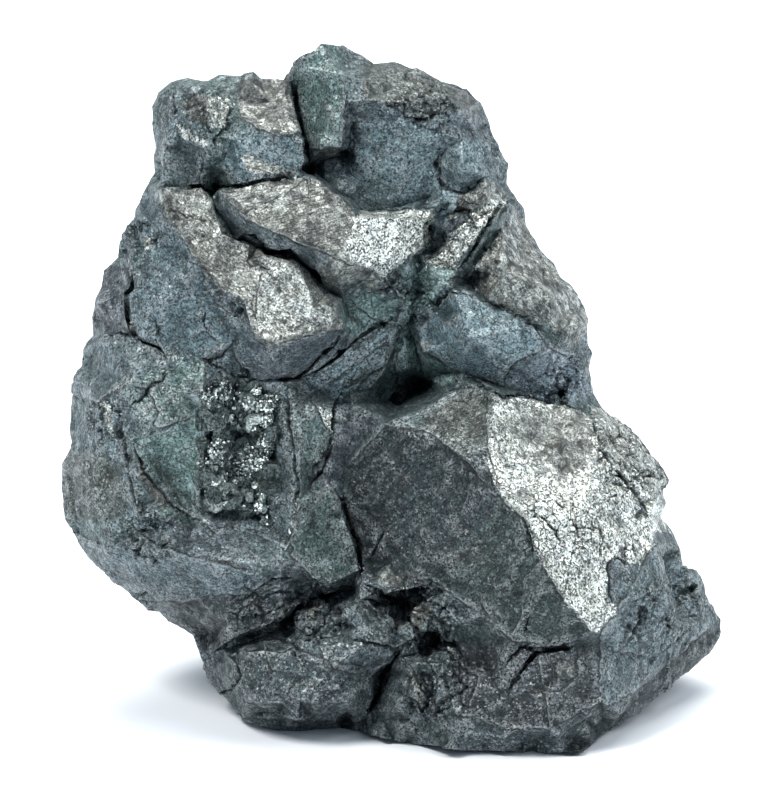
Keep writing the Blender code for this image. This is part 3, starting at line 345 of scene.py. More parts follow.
# cracks: half width and depth in mm, then grid places
cracks = {
    "wedgeUndercut": (0.18, 0.5, [(243, 234), (253, 236), (268, 252), (279, 255), (290, 252), (301, 263),
        (317, 276), (328, 292)]),
    "bladeFoot": (0.1, 0.4, [(342, 332), (336, 344), (318, 358), (299, 378), (283, 379), (262, 381),
        (247, 376)]),
    "shoulderCrown": (0.14, 0.51, [(292, 80), (297, 110), (303, 135), (309, 160), (313, 170)]),
    "shoulderFoot": (0.14, 0.42, [(160, 188), (200, 187), (213, 196), (220, 188), (245, 186), (262, 182),
        (302, 178)]),
    "shoulderBoss": (0.12, 0.3, [(222, 97), (232, 110), (227, 125), (222, 135), (210, 145)]),
    "shoulderSide": (0.1, 0.3, [(176, 82), (173, 96), (176, 110), (172, 122)]),
    "lobe": (0.13, 0.38, [(440, 145), (436, 165), (440, 180), (452, 190), (462, 193), (478, 183),
        (488, 173)]),
    "crownLedge": (0.12, 0.3, [(371, 103), (386, 106), (403, 105), (405, 118), (418, 120), (430, 119),
        (443, 110)]),
    "crownHollow": (0.1, 0.21, [(356, 118), (352, 132), (355, 146), (349, 156)]),
    "bladeGroove": (0.1, 0.21, [(163, 210), (180, 213), (203, 222), (212, 222)]),
    "bladeVein": (0.07, 0.14, [(255, 262), (270, 275), (281, 290), (290, 300)]),
    "purpleBlock": (0.09, 0.35, [(134, 262), (133, 287), (126, 293), (128, 318), (133, 333), (143, 342),
        (160, 348), (171, 363)]),
    "leftLedge": (0.1, 0.34, [(100, 336), (118, 333), (133, 334)]),
    "leftStep": (0.11, 0.3, [(171, 364), (165, 378), (155, 383), (145, 393), (129, 408)]),
    "bowlRim": (0.14, 0.34, [(116, 433), (123, 438), (125, 460), (130, 480), (134, 502), (142, 514)]),
    "bowlLine": (0.12, 0.26, [(130, 445), (145, 470), (160, 490), (175, 505), (195, 520)]),
    "flankVein": (0.07, 0.17, [(200, 283), (215, 300), (232, 305), (246, 303)]),
    "flankCrease": (0.09, 0.17, [(205, 363), (221, 358), (232, 345), (238, 330)]),
    "rib": (0.14, 0.3, [(286, 388), (289, 420), (294, 455), (298, 490), (294, 515)]),
    "middle": (0.12, 0.38, [(345, 385), (335, 405), (333, 436), (325, 455), (313, 483)]),
    "heartLeft": (0.15, 0.5, [(333, 483), (344, 500), (350, 525), (358, 545), (362, 570), (357, 590)]),
    "heartTop": (0.14, 0.42, [(462, 386), (482, 386), (503, 398), (522, 394), (545, 400), (565, 404),
        (582, 410)]),
    "heartSlit": (0.14, 0.34, [(385, 530), (378, 542), (372, 560)]),
    "heartLip": (0.18, 0.5, [(362, 583), (385, 595), (402, 604), (415, 592), (432, 583)]),
    "valleyLine": (0.14, 0.38, [(300, 380), (330, 362), (358, 338), (384, 322), (400, 314)]),
    "valleyStep": (0.1, 0.3, [(345, 385), (358, 380), (372, 374), (386, 366)]),
    "wingSlit": (0.09, 0.25, [(515, 199), (500, 206), (482, 232), (468, 258), (455, 272)]),
    "wingEdge": (0.11, 0.34, [(505, 226), (490, 243), (477, 262), (470, 283), (482, 297)]),
    "wingStep": (0.1, 0.26, [(482, 300), (500, 308), (532, 323), (549, 345)]),
    "wingLower": (0.11, 0.34, [(550, 384), (562, 392), (572, 406)]),
    "wingBreak": (0.1, 0.3, [(500, 386), (508, 374), (517, 362), (540, 352)]),
    "brightFork": (0.11, 0.3, [(530, 510), (545, 520), (556, 530), (560, 545)]),
    "brightLeft": (0.11, 0.3, [(522, 514), (530, 545), (533, 556)]),
    "brightDown": (0.1, 0.26, [(575, 515), (578, 535), (590, 548)]),
    "brightMid": (0.1, 0.26, [(598, 520), (602, 540), (600, 556)]),
    "brightEdge": (0.16, 0.42, [(590, 408), (597, 432), (604, 455), (613, 463), (623, 477), (638, 497),
        (650, 520), (656, 530)]),
    "brightCross": (0.14, 0.36, [(630, 465), (641, 474), (662, 478)]),
    "rodLeft": (0.13, 0.36, [(627, 538), (627, 560)]),
    "rodRight": (0.13, 0.36, [(635, 540), (635, 558)]),
    "plateGap": (0.13, 0.38, [(635, 469), (646, 491)]),
    "plateSide": (0.13, 0.38, [(625, 473), (633, 484), (640, 498)]),
    "plateEnd": (0.13, 0.38, [(645, 476), (651, 486), (656, 497)]),
    "plateCross": (0.11, 0.34, [(629, 482), (637, 478), (643, 483), (651, 480)]),
    "brightNick": (0.07, 0.26, [(605, 460), (606, 474), (608, 486)]),
    "brightBow": (0.07, 0.26, [(600, 490), (612, 497), (620, 492)]),
    "brightToe": (0.13, 0.34, [(640, 565), (616, 557), (609, 562), (608, 580), (611, 605)]),
    "heartBase": (0.15, 0.42, [(500, 663), (509, 659), (522, 647), (536, 648), (575, 648)]),
    "heartBranch": (0.12, 0.35, [(537, 650), (525, 666), (513, 683)]),
    "sideUpper": (0.12, 0.35, [(646, 605), (642, 620), (630, 638)]),
    "sideRight": (0.1, 0.35, [(668, 606), (666, 620), (672, 632)]),
    "flankScar": (0.08, 0.25, [(156, 318), (158, 330), (156, 344)]),
    "flankScarRight": (0.07, 0.22, [(206, 308), (203, 320), (207, 332)]),
    "flankFoot": (0.1, 0.32, [(200, 358), (215, 365), (228, 371), (241, 379)]),
    "wingLine": (0.09, 0.28, [(440, 237), (462, 222), (478, 214), (486, 214), (497, 205)]),
    "wingBits": (0.09, 0.3, [(428, 300), (440, 304), (447, 291), (462, 293), (474, 298)]),
    "wingScar": (0.08, 0.26, [(541, 255), (545, 266), (547, 279)]),
    "wingNick": (0.08, 0.26, [(486, 268), (494, 276), (503, 281)]),
    "faceCrack": (0.08, 0.3, [(528, 618), (526, 626), (530, 634)]),
    "footBand": (0.1, 0.3, [(452, 688), (445, 705), (432, 718)]),
    "footStep": (0.1, 0.3, [(438, 648), (460, 662), (463, 673), (452, 688)]),
    "footCleft": (0.16, 0.5, [(412, 640), (398, 655), (384, 672), (376, 700), (362, 722)]),
    "footRod": (0.15, 0.4, [(428, 674), (432, 696), (422, 714)]),
    "footBlocks": (0.14, 0.34, [(395, 592), (404, 610), (412, 625), (428, 634), (448, 640)]),
    "leftFootCrack": (0.18, 0.5, [(208, 655), (236, 641), (262, 632), (290, 619), (310, 600),
        (350, 589)]),
    "leafCrack": (0.09, 0.3, [(255, 590), (275, 578), (300, 578)]),
    "leafSlit": (0.1, 0.34, [(275, 593), (286, 591), (296, 594)]),
    "leftFootTop": (0.12, 0.35, [(345, 638), (368, 641), (395, 649), (411, 640)]),
    "leftFootLump": (0.12, 0.35, [(213, 697), (230, 690), (240, 676), (236, 661), (222, 652)]),
    "leftFootDip": (0.12, 0.35, [(246, 643), (270, 641), (294, 642), (297, 655), (288, 660)]),
}

# small deep holes: across, down, radius in squares, depth in mm
holes = [
    (240, 312, 5, 0.7), (476, 276, 5, 0.8), (117, 434, 5, 0.6), (203, 235, 3, 0.3), (343, 152, 6, 0.5),
    (310, 169, 7, 0.6), (432, 637, 9, 0.7), (447, 633, 5, 0.5), (405, 606, 6, 0.7), (345, 722, 9, 0.5),
    (643, 612, 5, 0.4), (668, 620, 4, 0.4), (655, 600, 3, 0.3), (693, 590, 4, 0.3), (676, 588, 3, 0.3),
    (433, 228, 6, 0.6), (245, 372, 5, 0.4), (140, 507, 6, 0.4), (337, 612, 6, 0.6), (216, 187, 5, 0.5),
    (487, 137, 3, 0.3), (561, 394, 6, 0.4), (641, 514, 5, 0.4), (404, 290, 6, 0.5), (425, 318, 6, 0.5),
    (318, 612, 4, 0.3), (418, 600, 4, 0.4), (398, 398, 8, 0.5),
]

# patches of small broken blocks: across, down, reach in squares, strength
blocky = [
    (636, 468, 60, 0.15), (420, 112, 42, 1.0), (112, 292, 40, 1.0), (82, 495, 45, 1.1),
    (205, 112, 34, 1.3), (520, 722, 80, 0.7), (425, 622, 48, 1.5), (290, 700, 75, 0.8),
    (412, 290, 34, 1.5), (695, 600, 45, 0.8), (570, 390, 36, 1.2), (352, 612, 52, 1.2),
    (462, 240, 34, 1.0), (480, 150, 34, 1.0), (150, 530, 40, 1.1), (108, 415, 26, 1.1),
    (165, 110, 36, 1.0), (330, 70, 40, 0.6), (305, 620, 36, 1.2), (440, 690, 45, 1.0),
    (575, 420, 40, 0.5), (620, 560, 46, 0.6), (130, 245, 34, 1.2),
]

# fine parallel ridges: outline, direction as a grid step, spacing in squares, height in mm
ridged = [
    ([(232, 128), (262, 131), (302, 136), (308, 175), (262, 181), (238, 184)], (3.2, 1), 7.0, 0.05),
    ([(160, 188), (205, 195), (222, 230), (300, 268), (340, 320), (268, 346), (205, 275)], (1.6, 1), 9.0,
        0.045),
    ([(222, 190), (305, 179), (360, 218), (345, 262), (250, 222)], (3.0, -1), 8.0, 0.015),
    ([(505, 205), (540, 247), (590, 325), (560, 340), (480, 290)], (1, 1.35), 9.0, 0.045),
    ([(430, 262), (450, 236), (508, 201), (487, 224), (458, 262)], (1, -1.1), 6.0, 0.06),
    ([(345, 480), (385, 428), (460, 455), (520, 512), (560, 600), (420, 580)], (1, -0.7), 12.0, 0.03),
    ([(70, 530), (140, 540), (262, 572), (196, 600), (98, 570)], (2.6, 1), 9.0, 0.035),
    ([(300, 380), (345, 350), (400, 320), (388, 362), (338, 403)], (1.2, -1), 7.0, 0.05),
]


# crisp edges between facets, as lines of grid places: the facet on the left of the walk stands
# a little proud of the one on its right
creases = [
    [(296, 143), (318, 150), (340, 147)],
    [(341, 150), (345, 100)],
    [(371, 103), (402, 107), (405, 119), (430, 119), (450, 107)],
    [(432, 210), (402, 210), (366, 213), (345, 197), (320, 181), (306, 172)],
    [(240, 119), (262, 130), (280, 138), (300, 134)],
    [(168, 145), (184, 146), (206, 151), (200, 186)],
    [(231, 204), (250, 222), (287, 238), (345, 262), (385, 276)],
    [(232, 205), (248, 206), (272, 201), (304, 180)],
    [(163, 213), (185, 243), (205, 275), (222, 290), (247, 303)],
    [(256, 338), (268, 348), (300, 337), (341, 331)],
    [(268, 262), (258, 290), (256, 330)],
    [(200, 280), (228, 300), (246, 305), (254, 333)],
    [(205, 363), (232, 345), (246, 372)],
    [(72, 395), (98, 402), (128, 384), (150, 390), (171, 364)],
    [(130, 441), (152, 431), (204, 412), (206, 364)],
    [(133, 446), (145, 470), (160, 490), (176, 506), (214, 530)],
    [(300, 566), (262, 572), (222, 564), (162, 548), (139, 531), (108, 549), (70, 530)],
    [(98, 572), (140, 602), (196, 600), (228, 594), (262, 590), (300, 578)],
    [(288, 392), (295, 450), (300, 500), (290, 541), (302, 566), (322, 586), (353, 587)],
    [(345, 386), (372, 375), (390, 360), (396, 330)],
    [(345, 470), (384, 424), (424, 429), (461, 455), (499, 500), (520, 512)],
    [(487, 400), (487, 445), (503, 500), (528, 522), (540, 560), (563, 600), (590, 630)],
    [(462, 455), (470, 480), (462, 505)],
    [(540, 560), (520, 580), (522, 610), (510, 638)],
    [(400, 574), (432, 578), (470, 605), (510, 638), (560, 646), (594, 633)],
    [(506, 205), (494, 240), (479, 258), (471, 272)],
    [(547, 346), (532, 325), (487, 303), (453, 288), (436, 306)],
    [(415, 331), (428, 349), (462, 373), (500, 386), (517, 362), (549, 347), (573, 358)],
    [(655, 547), (634, 582), (600, 633), (600, 700)],
    [(575, 725), (618, 700), (655, 678), (694, 642), (713, 628)],
    [(345, 640), (360, 598), (408, 643), (377, 668), (340, 662)],
    [(340, 662), (300, 650), (236, 652)],
    [(248, 700), (300, 722), (345, 702)],
    [(455, 712), (500, 725), (548, 728), (600, 700)],
    [(441, 131), (446, 149), (437, 168)],
    [(93, 320), (95, 266), (130, 265), (133, 290)],
    [(488, 116), (470, 93), (441, 81), (404, 63)],
    [(316, 407), (333, 438), (313, 483)],
    [(350, 284), (384, 276), (400, 300), (395, 322)],
    [(480, 600), (500, 630), (520, 642)],
    [(310, 396), (345, 372), (386, 341)],
    [(350, 299), (372, 318), (395, 322)],
    [(344, 300), (352, 320), (345, 345)],
    [(405, 333), (394, 358), (401, 386)],
    [(440, 240), (450, 250), (462, 262)],
    [(486, 214), (492, 222), (478, 244), (460, 264)],
    [(440, 278), (462, 276), (476, 284)],
    [(590, 300), (572, 318), (560, 340)],
    [(446, 366), (456, 378), (461, 392)],
    [(118, 262), (122, 275), (119, 290)],
    [(206, 288), (214, 300), (232, 312)],
    [(538, 655), (545, 690), (550, 732)],
    [(578, 655), (578, 676), (560, 690), (545, 690)],
    [(600, 640), (622, 651), (640, 655)],
    [(430, 640), (460, 662), (478, 676), (470, 700)],
    [(240, 650), (262, 646), (272, 668), (296, 673)],
    [(300, 626), (322, 650), (335, 668), (352, 672)],
    [(184, 340), (205, 330), (222, 345), (206, 363)],
    [(150, 390), (160, 412), (152, 431)],
    [(262, 535), (285, 548), (300, 566)],
]
# mm high, squares that it fades over and rises over, and how far the low side sinks beside it
crease = {"tall": 0.07, "reach": 12.0, "rise": 1.5, "sink": 0.6}


# distance in squares from the nearest crease, less than 0 on its proud side, and the height in mm
# that the facets step up or down beside it
def creaseShape(x, y, front):
    nearest = np.full(len(x), crease["reach"])
    side = np.ones(len(x))
    for line in creases:
        away, _, turn = polylineDistance(x, y, line, reach=crease["reach"])
        nearer = away < nearest
        nearest[nearer] = away[nearer]
        side[nearer] = turn[nearer]
    fade = 1 - nearest / crease["reach"]
    rise = np.clip(nearest / crease["rise"], 0, 1)
    height = np.where(side < 0, 1, -crease["sink"]) * fade * crease["tall"] * rise
    signed = np.where(front, side * nearest, crease["reach"])
    return signed, height * front


# how lines wander: squares that they bend and snap aside, and steps of each pattern per mm
wandering = {"bend": 1.6, "bendSteps": 0.8, "snap": 2.4, "snapSteps": 1.5}


# grid places with a small angular wander, so that no line is ruled
def wander(points, x, y):
    bend, snap = wandering["bend"], wandering["snap"]
    moves = np.empty((len(points), 2))
    for i, p in enumerate(points):
        spot = Vector(p) * 1000
        slow = noise.noise_vector(spot * wandering["bendSteps"])
        seat = noise.voronoi(spot * wandering["snapSteps"])[1][0]
        jump = noise.noise_vector(seat * 3.3)
        moves[i] = bend * slow.x + snap * jump.x, bend * slow.y + snap * jump.y
    return x + moves[:, 0], y + moves[:, 1]


# a crack is narrow at its ends: the share of its length that it widens over is 1 / taper, and
# its ends are open by the tip share; painted shade rises faster than depth in cracks and holes
crackLook = {"taper": 6, "tip": 0.2, "dark": 1.6, "holeDark": 1.2}


# depth in mm and painted shade of every crack at grid places, each widened by the extra mm
def crackShape(x, y, extra=0.0):
    depth = np.zeros(len(x))
    dark = np.zeros(len(x))
    for halfWidth, deep, line in cracks.values():
        away, along = polylineDistance(x, y, line)[:2]
        opening = np.clip(crackLook["taper"] * np.minimum(along, 1 - along), crackLook["tip"], 1)
        share = np.clip(1 - away * square / (halfWidth * opening + extra), 0, 1)
        depth = np.maximum(depth, deep * opening * share)
        dark = np.maximum(dark, np.clip(share * crackLook["dark"], 0, 1) * opening ** 0.5)
    for across, down, radius, deep in holes:
        away = np.hypot(x - across, y - down) / radius
        share = np.clip(1 - away ** 2, 0, 1)
        depth = np.maximum(depth, deep * share)
        dark = np.maximum(dark, np.clip(share * crackLook["holeDark"], 0, 1))
    return depth, dark


# how strongly round patches of the face show at grid places
def patchesShare(x, y, patches, fade):
    share = np.zeros(len(x))
    for across, down, reach, strength in patches:
        share = np.maximum(share, strength * patchShare(x, y, across, down, reach, fade))
    return share


# how broken the surface is; the sides and the back are broken all over
def blockyShare(x, y, front):
    return np.where(front, patchesShare(x, y, blocky, 0.45), 0.9)


# a ridge rises slowly and falls steeply, and bends a little along its length; its finish is
# stretched along it, and each patch has its own place in the finish's pattern
ridgeLook = {
    "blur": 8, "bend": 0.35, "bendLength": 17, "rise": 1.3, "fall": 4, "middle": 0.4,
    "stretch": 0.12, "patternStep": 40.0,
}


# height in mm of the fine parallel ridges, and the place across and along them for the finish
def ridgedHeight(x, y, front):
    look = ridgeLook
    height = np.zeros(len(x))
    streak = np.zeros((len(x), 3))
    for turn, (outline, (stepX, stepY), spacing, tall) in enumerate(ridged):
        share = insideShare(x, y, outline, look["blur"]) * front
        length = math.hypot(stepX, stepY)
        across = (x * stepY - y * stepX) / length
        along = (x * stepX + y * stepY) / length
        wave = across / spacing + look["bend"] * np.sin(along / look["bendLength"])
        saw = wave - np.floor(wave)
        ridge = np.minimum(saw * look["rise"], (1 - saw) * look["fall"])
        height += share * tall * (ridge - look["middle"])
        patch = np.full(len(x), look["patternStep"] * turn)
        inside = share > 0.5
        streak[inside] = np.stack([across, along * look["stretch"], patch], 1)[inside]
    return height, streak


# patches of separate fragments: place and reach in squares, length, width and depth of a
# fragment in mm, its direction as a grid step, how far it stands out, and the gaps' depth
fragments = [
    (640, 456, 50, (1.6, 0.8, 1.6), (1, 1.4), 0.10, 0.42),
    (411, 290, 38, (1.3, 0.8, 1.3), (1, -1.2), 0.32, 0.35),
    (424, 614, 44, (1.4, 0.8, 1.4), (1, 0.5), 0.38, 0.40),
    (318, 612, 38, (1.3, 0.7, 1.3), (1, -0.6), 0.30, 0.35),
    (205, 112, 30, (0.7, 0.5, 0.7), (1, 1), 0.16, 0.15),
    (428, 108, 34, (1.2, 0.6, 1.2), (1, 0.2), 0.18, 0.2),
    (135, 240, 30, (1.2, 0.8, 1.2), (0.2, 1), 0.22, 0.25),
    (150, 535, 34, (1.2, 0.8, 1.2), (1, 0.4), 0.22, 0.25),
    (440, 690, 38, (1.8, 0.8, 1.8), (0.2, 1), 0.25, 0.3),
    (575, 550, 46, (1.3, 0.9, 1.3), (1, 1), 0.05, 0.12),
    (660, 620, 50, (1.6, 0.8, 1.6), (1, -1), 0.10, 0.16),
    (465, 225, 34, (1.6, 0.7, 1.6), (1, -1.1), 0.18, 0.25),
    (562, 385, 30, (1.6, 0.9, 1.6), (1, 0.5), 0.2, 0.3),
    (108, 418, 24, (0.9, 0.6, 0.9), (0.4, 1), 0.2, 0.25),
    (262, 600, 40, (2.2, 0.9, 2.2), (1, -0.4), 0.14, 0.2),
]


# gap between two fragments as a share of their size, how far they stand out, how dark the painted
# shade in the gaps is, and the step from one patch's pattern to the next
fragmentLook = {"gap": 0.12, "stand": 1.6, "dark": 3.5, "patternStep": 9.0, "fade": 0.4}


# lift in mm of the fragments at grid places, and painted shade in the gaps between them
def fragmentShape(x, y, depth, front):
    look = fragmentLook
    lift = np.zeros(len(x))
    gaps = np.zeros(len(x))
    for turn, (across, down, reach, size, step, stand, deep) in enumerate(fragments):
        share = patchShare(x, y, across, down, reach, look["fade"]) * front
        near = np.flatnonzero(share > 0)
        length = math.hypot(*step)
        u = (x[near] * step[0] + y[near] * step[1]) / length * square / size[0]
        v = (x[near] * step[1] - y[near] * step[0]) / length * square / size[1]
        w = depth[near] / size[2] + look["patternStep"] * turn
        rise, tilt, edge = cellsAt(np.stack([u, v, w], 1))
        gap = np.clip(1 - edge / look["gap"], 0, 1)
        lift[near] += share[near] * (stand * look["stand"] * (rise + tilt) - deep * gap)
        dark = share[near] * gap * min(1.0, deep * look["dark"])
        gaps[near] = np.maximum(gaps[near], dark)
    return lift, gaps


# clefts whose walls stand closer together than the solid's: mm, and outline in grid squares
closer = [
    (0.55, [(436, 176), (456, 190), (464, 206), (446, 232), (428, 264), (414, 262), (430, 236),
        (432, 214)]),
    (0.45, [(400, 268), (430, 256), (444, 276), (438, 306), (424, 330), (434, 360), (446, 390),
        (420, 372), (398, 372), (396, 330), (402, 300)]),
]


# fine relief over the solid's own shape: grain, blocks, ridges, cracks and holes
def carveMass(mesh):
    points = coordinates(mesh)
    normals = normalsOf(mesh)
    x, y, depth = toGrid(points)
    front = facesViewer(normals) > mass["turnFrom"]
    rough = blockyShare(x, y, front)
    x, y = wander(points, x, y)
    crackDepth, dark = crackShape(x, y)
    crackDepth = np.where(front, crackDepth, 0)
    dark = np.where(front, dark, 0)
    lift = blocksAt(points, *mass["planes"])[1] * mass["planeTilt"]
    for size, start, broken, plain in mass["blocks"]:
        stand, tilt = blocksAt(points, size, start)[:2]
        lift += (stand + mass["blockTilt"] * tilt) * (broken * rough + plain)
    turned = smoothStep(facesViewer(normals), mass["turnFrom"], mass["turnTo"])
    pieces, gaps = fragmentShape(x, y, depth, turned)
    lift += pieces
    lift += mass["grain"] * fractalAt(points, *mass["grainPattern"])
    for tall, outline in closer:
        lift += tall * insideShare(x, y, outline, mass["clefts"])
    signed, step = creaseShape(x, y, front)
    lift += step
    height, streak = ridgedHeight(x, y, front)
    pits = np.clip(noiseAt(points, *mass["pitPattern"]) - mass["pitFrom"], 0, 1)
    lift += height - mass["pitDepth"] * pits - crackDepth
    lift[points[:, 2] < 1e-5] = 0
    points += normals * (lift * 0.001)[:, None]
    points = np.clip(points, *np.array(cadBox))
    setCoordinates(mesh, points)
    addAttribute(mesh, "crease", signed)
    # painted shade in cracks, holes, pits and the gaps between fragments
    addAttribute(mesh, "crack", np.clip(dark + mass["pitDark"] * pits + gaps, 0, 1))
    addAttribute(mesh, "rough", np.clip(rough, 0, 1))
    addAttribute(mesh, "streak", streak, "FLOAT_VECTOR", "vector")
    return x, y, front


# how far in mm each point lies below its surroundings, near by and further round: less than 0
# on an edge
def hollowness(mesh):
    points = coordinates(mesh)
    normals = normalsOf(mesh)
    edges = rowsOf(mesh.edges, "vertices", 2, np.int32)
    links = np.bincount(edges.ravel(), minlength=len(points))[:, None]
    smooth = points.copy()
    results = []
    near, wide = paint["rounds"]
    for step in range(1, wide + 1):
        smooth = neighbourSum(smooth, edges) / links
        if step in (near, wide):
            results.append(((smooth - points) * normals).sum(1) * 1000)
    return results


# tarnish with painted light and shade: each patch of the face has a lightness, a colour and an outline
# in grid squares; the colour is the tarnish's own, and the lightness is partly painted, darker on faces
# turned from the light and lighter in shadowed recesses
slate = (0.073, 0.103, 0.111)
steel = (0.070, 0.106, 0.118)
green = (0.068, 0.105, 0.102)
plum = (0.076, 0.097, 0.111)
brown = (0.092, 0.109, 0.102)
tarnishAndPaintedShading = {
    "crownTop": (0.66, brown, [(365, 58), (403, 63), (441, 81), (470, 92), (488, 115), (450, 112),
        (430, 119), (405, 119), (400, 107), (371, 102), (362, 82)]),
    "crownLeft": (1.45, green, [(293, 70), (321, 44), (340, 52), (346, 100), (341, 146), (320, 149),
        (305, 145), (295, 105)]),
    "crownHollow": (1.72, slate, [(355, 120), (405, 121), (441, 131), (446, 149), (436, 168), (441, 194),
        (440, 215), (402, 218), (372, 228), (352, 207), (320, 180), (345, 155)]),
    "lobe": (2.1, slate, [(446, 149), (462, 141), (484, 141), (484, 178), (459, 192), (438, 168)]),
    "shoulderBlue": (1.25, steel, [(230, 125), (262, 131), (300, 135), (308, 177), (262, 181),
        (235, 186), (226, 158)]),
    "shoulderDark": (0.77, slate, [(168, 145), (183, 146), (205, 150), (200, 186), (162, 187)]),
    "leftBlock": (0.75, plum, [(95, 265), (130, 265), (133, 287), (126, 293), (128, 318), (133, 332),
        (104, 335), (92, 320)]),
    "flankBlue": (0.92, steel, [(133, 200), (160, 195), (203, 265), (245, 303), (254, 333), (241, 378),
        (206, 363), (165, 352), (140, 337), (133, 300)]),
    "leftFacet": (1.0, slate, [(82, 350), (104, 337), (135, 335), (165, 352), (171, 364), (150, 390),
        (128, 384), (98, 402), (72, 395), (75, 371)]),
    "greenFacet": (1.2, green, [(128, 384), (171, 364), (206, 363), (206, 412), (152, 431), (131, 409)]),
    "bowl": (1.65, green, [(130, 440), (152, 431), (205, 412), (203, 480), (193, 524), (165, 515),
        (140, 480)]),
    "bowlDeep": (0.75, green, [(150, 452), (168, 470), (190, 488), (208, 518), (192, 527), (165, 506),
        (152, 482)]),
    "lowerBand": (1.0, slate, [(70, 530), (108, 550), (139, 531), (162, 548), (222, 564), (262, 572),
        (228, 594), (196, 600), (140, 602), (98, 572)]),
    "bladeDark": (1.15, plum, [(254, 338), (268, 348), (300, 340), (342, 332), (320, 357), (298, 377),
        (264, 380), (246, 376)]),
    "strip": (0.85, green, [(295, 400), (333, 440), (313, 485), (333, 492), (357, 552), (353, 586),
        (322, 586), (300, 565), (290, 541), (301, 500)]),
    "middleDark": (0.7, plum, [(338, 408), (379, 418), (346, 460), (341, 480), (333, 492), (312, 482),
        (335, 436)]),
    "valleyTop": (1.9, green, [(343, 298), (366, 291), (398, 300), (395, 322), (350, 340), (342, 330)]),
    "valleyLow": (1.9, slate, [(300, 380), (345, 350), (395, 322), (388, 362), (338, 403)]),
    "channel": (2.6, slate, [(432, 180), (452, 190), (464, 204), (446, 226), (430, 250), (418, 262),
        (428, 236), (431, 222)]),
    "valleyFoot": (2.4, green, [(398, 268), (430, 256), (452, 272), (440, 300), (422, 312), (412, 330),
        (396, 322), (398, 300)]),
    "valleyDark": (2.6, green, [(396, 322), (412, 330), (425, 318), (432, 350), (462, 373), (440, 392),
        (432, 374), (395, 368)]),
    "heartTop": (0.6, brown, [(420, 424), (440, 405), (462, 389), (480, 388), (496, 400), (487, 445),
        (461, 455), (425, 430)]),
    "heartDark": (0.32, steel, [(345, 470), (385, 424), (425, 428), (461, 455), (487, 447), (500, 500),
        (480, 530), (440, 560), (432, 578), (385, 590), (362, 570), (347, 510)]),
    "heartDeep": (0.2, steel, [(350, 476), (385, 432), (412, 442), (404, 500), (386, 545), (364, 560),
        (350, 520)]),
    "heartLow": (0.38, green, [(500, 500), (521, 512), (535, 545), (550, 582), (592, 632), (560, 645),
        (510, 638), (470, 605), (432, 578), (440, 560), (480, 530)]),
    "wingBlue": (1.5, steel, [(436, 306), (452, 288), (487, 303), (532, 325), (547, 347), (517, 362),
        (500, 386), (462, 373), (428, 349), (415, 330), (420, 308)]),
    "wingLower": (2.5, plum, [(520, 365), (549, 348), (573, 358), (582, 372), (594, 392), (575, 402),
        (538, 398), (505, 385)]),
    "wingGreen": (1.0, green, [(515, 203), (500, 210), (487, 224), (468, 250), (456, 272), (470, 268),
        (501, 228), (512, 213)]),
    "sideFacet": (1.0, slate, [(600, 640), (635, 582), (655, 546), (684, 567), (706, 584), (724, 622),
        (711, 655), (660, 695), (618, 712), (600, 700)]),
    "sideEdge": (0.36, slate, [(726, 632), (711, 655), (684, 680), (657, 701), (613, 729), (592, 750),
        (560, 756), (575, 725), (618, 700), (655, 678), (694, 642), (712, 628)]),
    "footFront": (0.3, plum, [(452, 642), (510, 640), (592, 645), (600, 700), (548, 728), (500, 725),
        (455, 712)]),
    "leftFootFront": (0.47, slate, [(236, 652), (300, 650), (338, 662), (345, 702), (300, 722),
        (248, 700), (228, 678)]),
    "leftFootDark": (0.26, slate, [(165, 600), (228, 595), (262, 596), (298, 606), (260, 630),
        (210, 652), (195, 640)]),
    "footTriangle": (0.8, slate, [(345, 613), (360, 598), (408, 643), (377, 668), (338, 662),
        (345, 640)]),
    "leaf": (1.4, slate, [(213, 592), (225, 576), (262, 571), (270, 574), (255, 585), (228, 594)]),
    "rimLeft": (0.8, brown, [(60, 455), (98, 450), (120, 470), (130, 505), (110, 520), (70, 520),
        (60, 490)]),
}
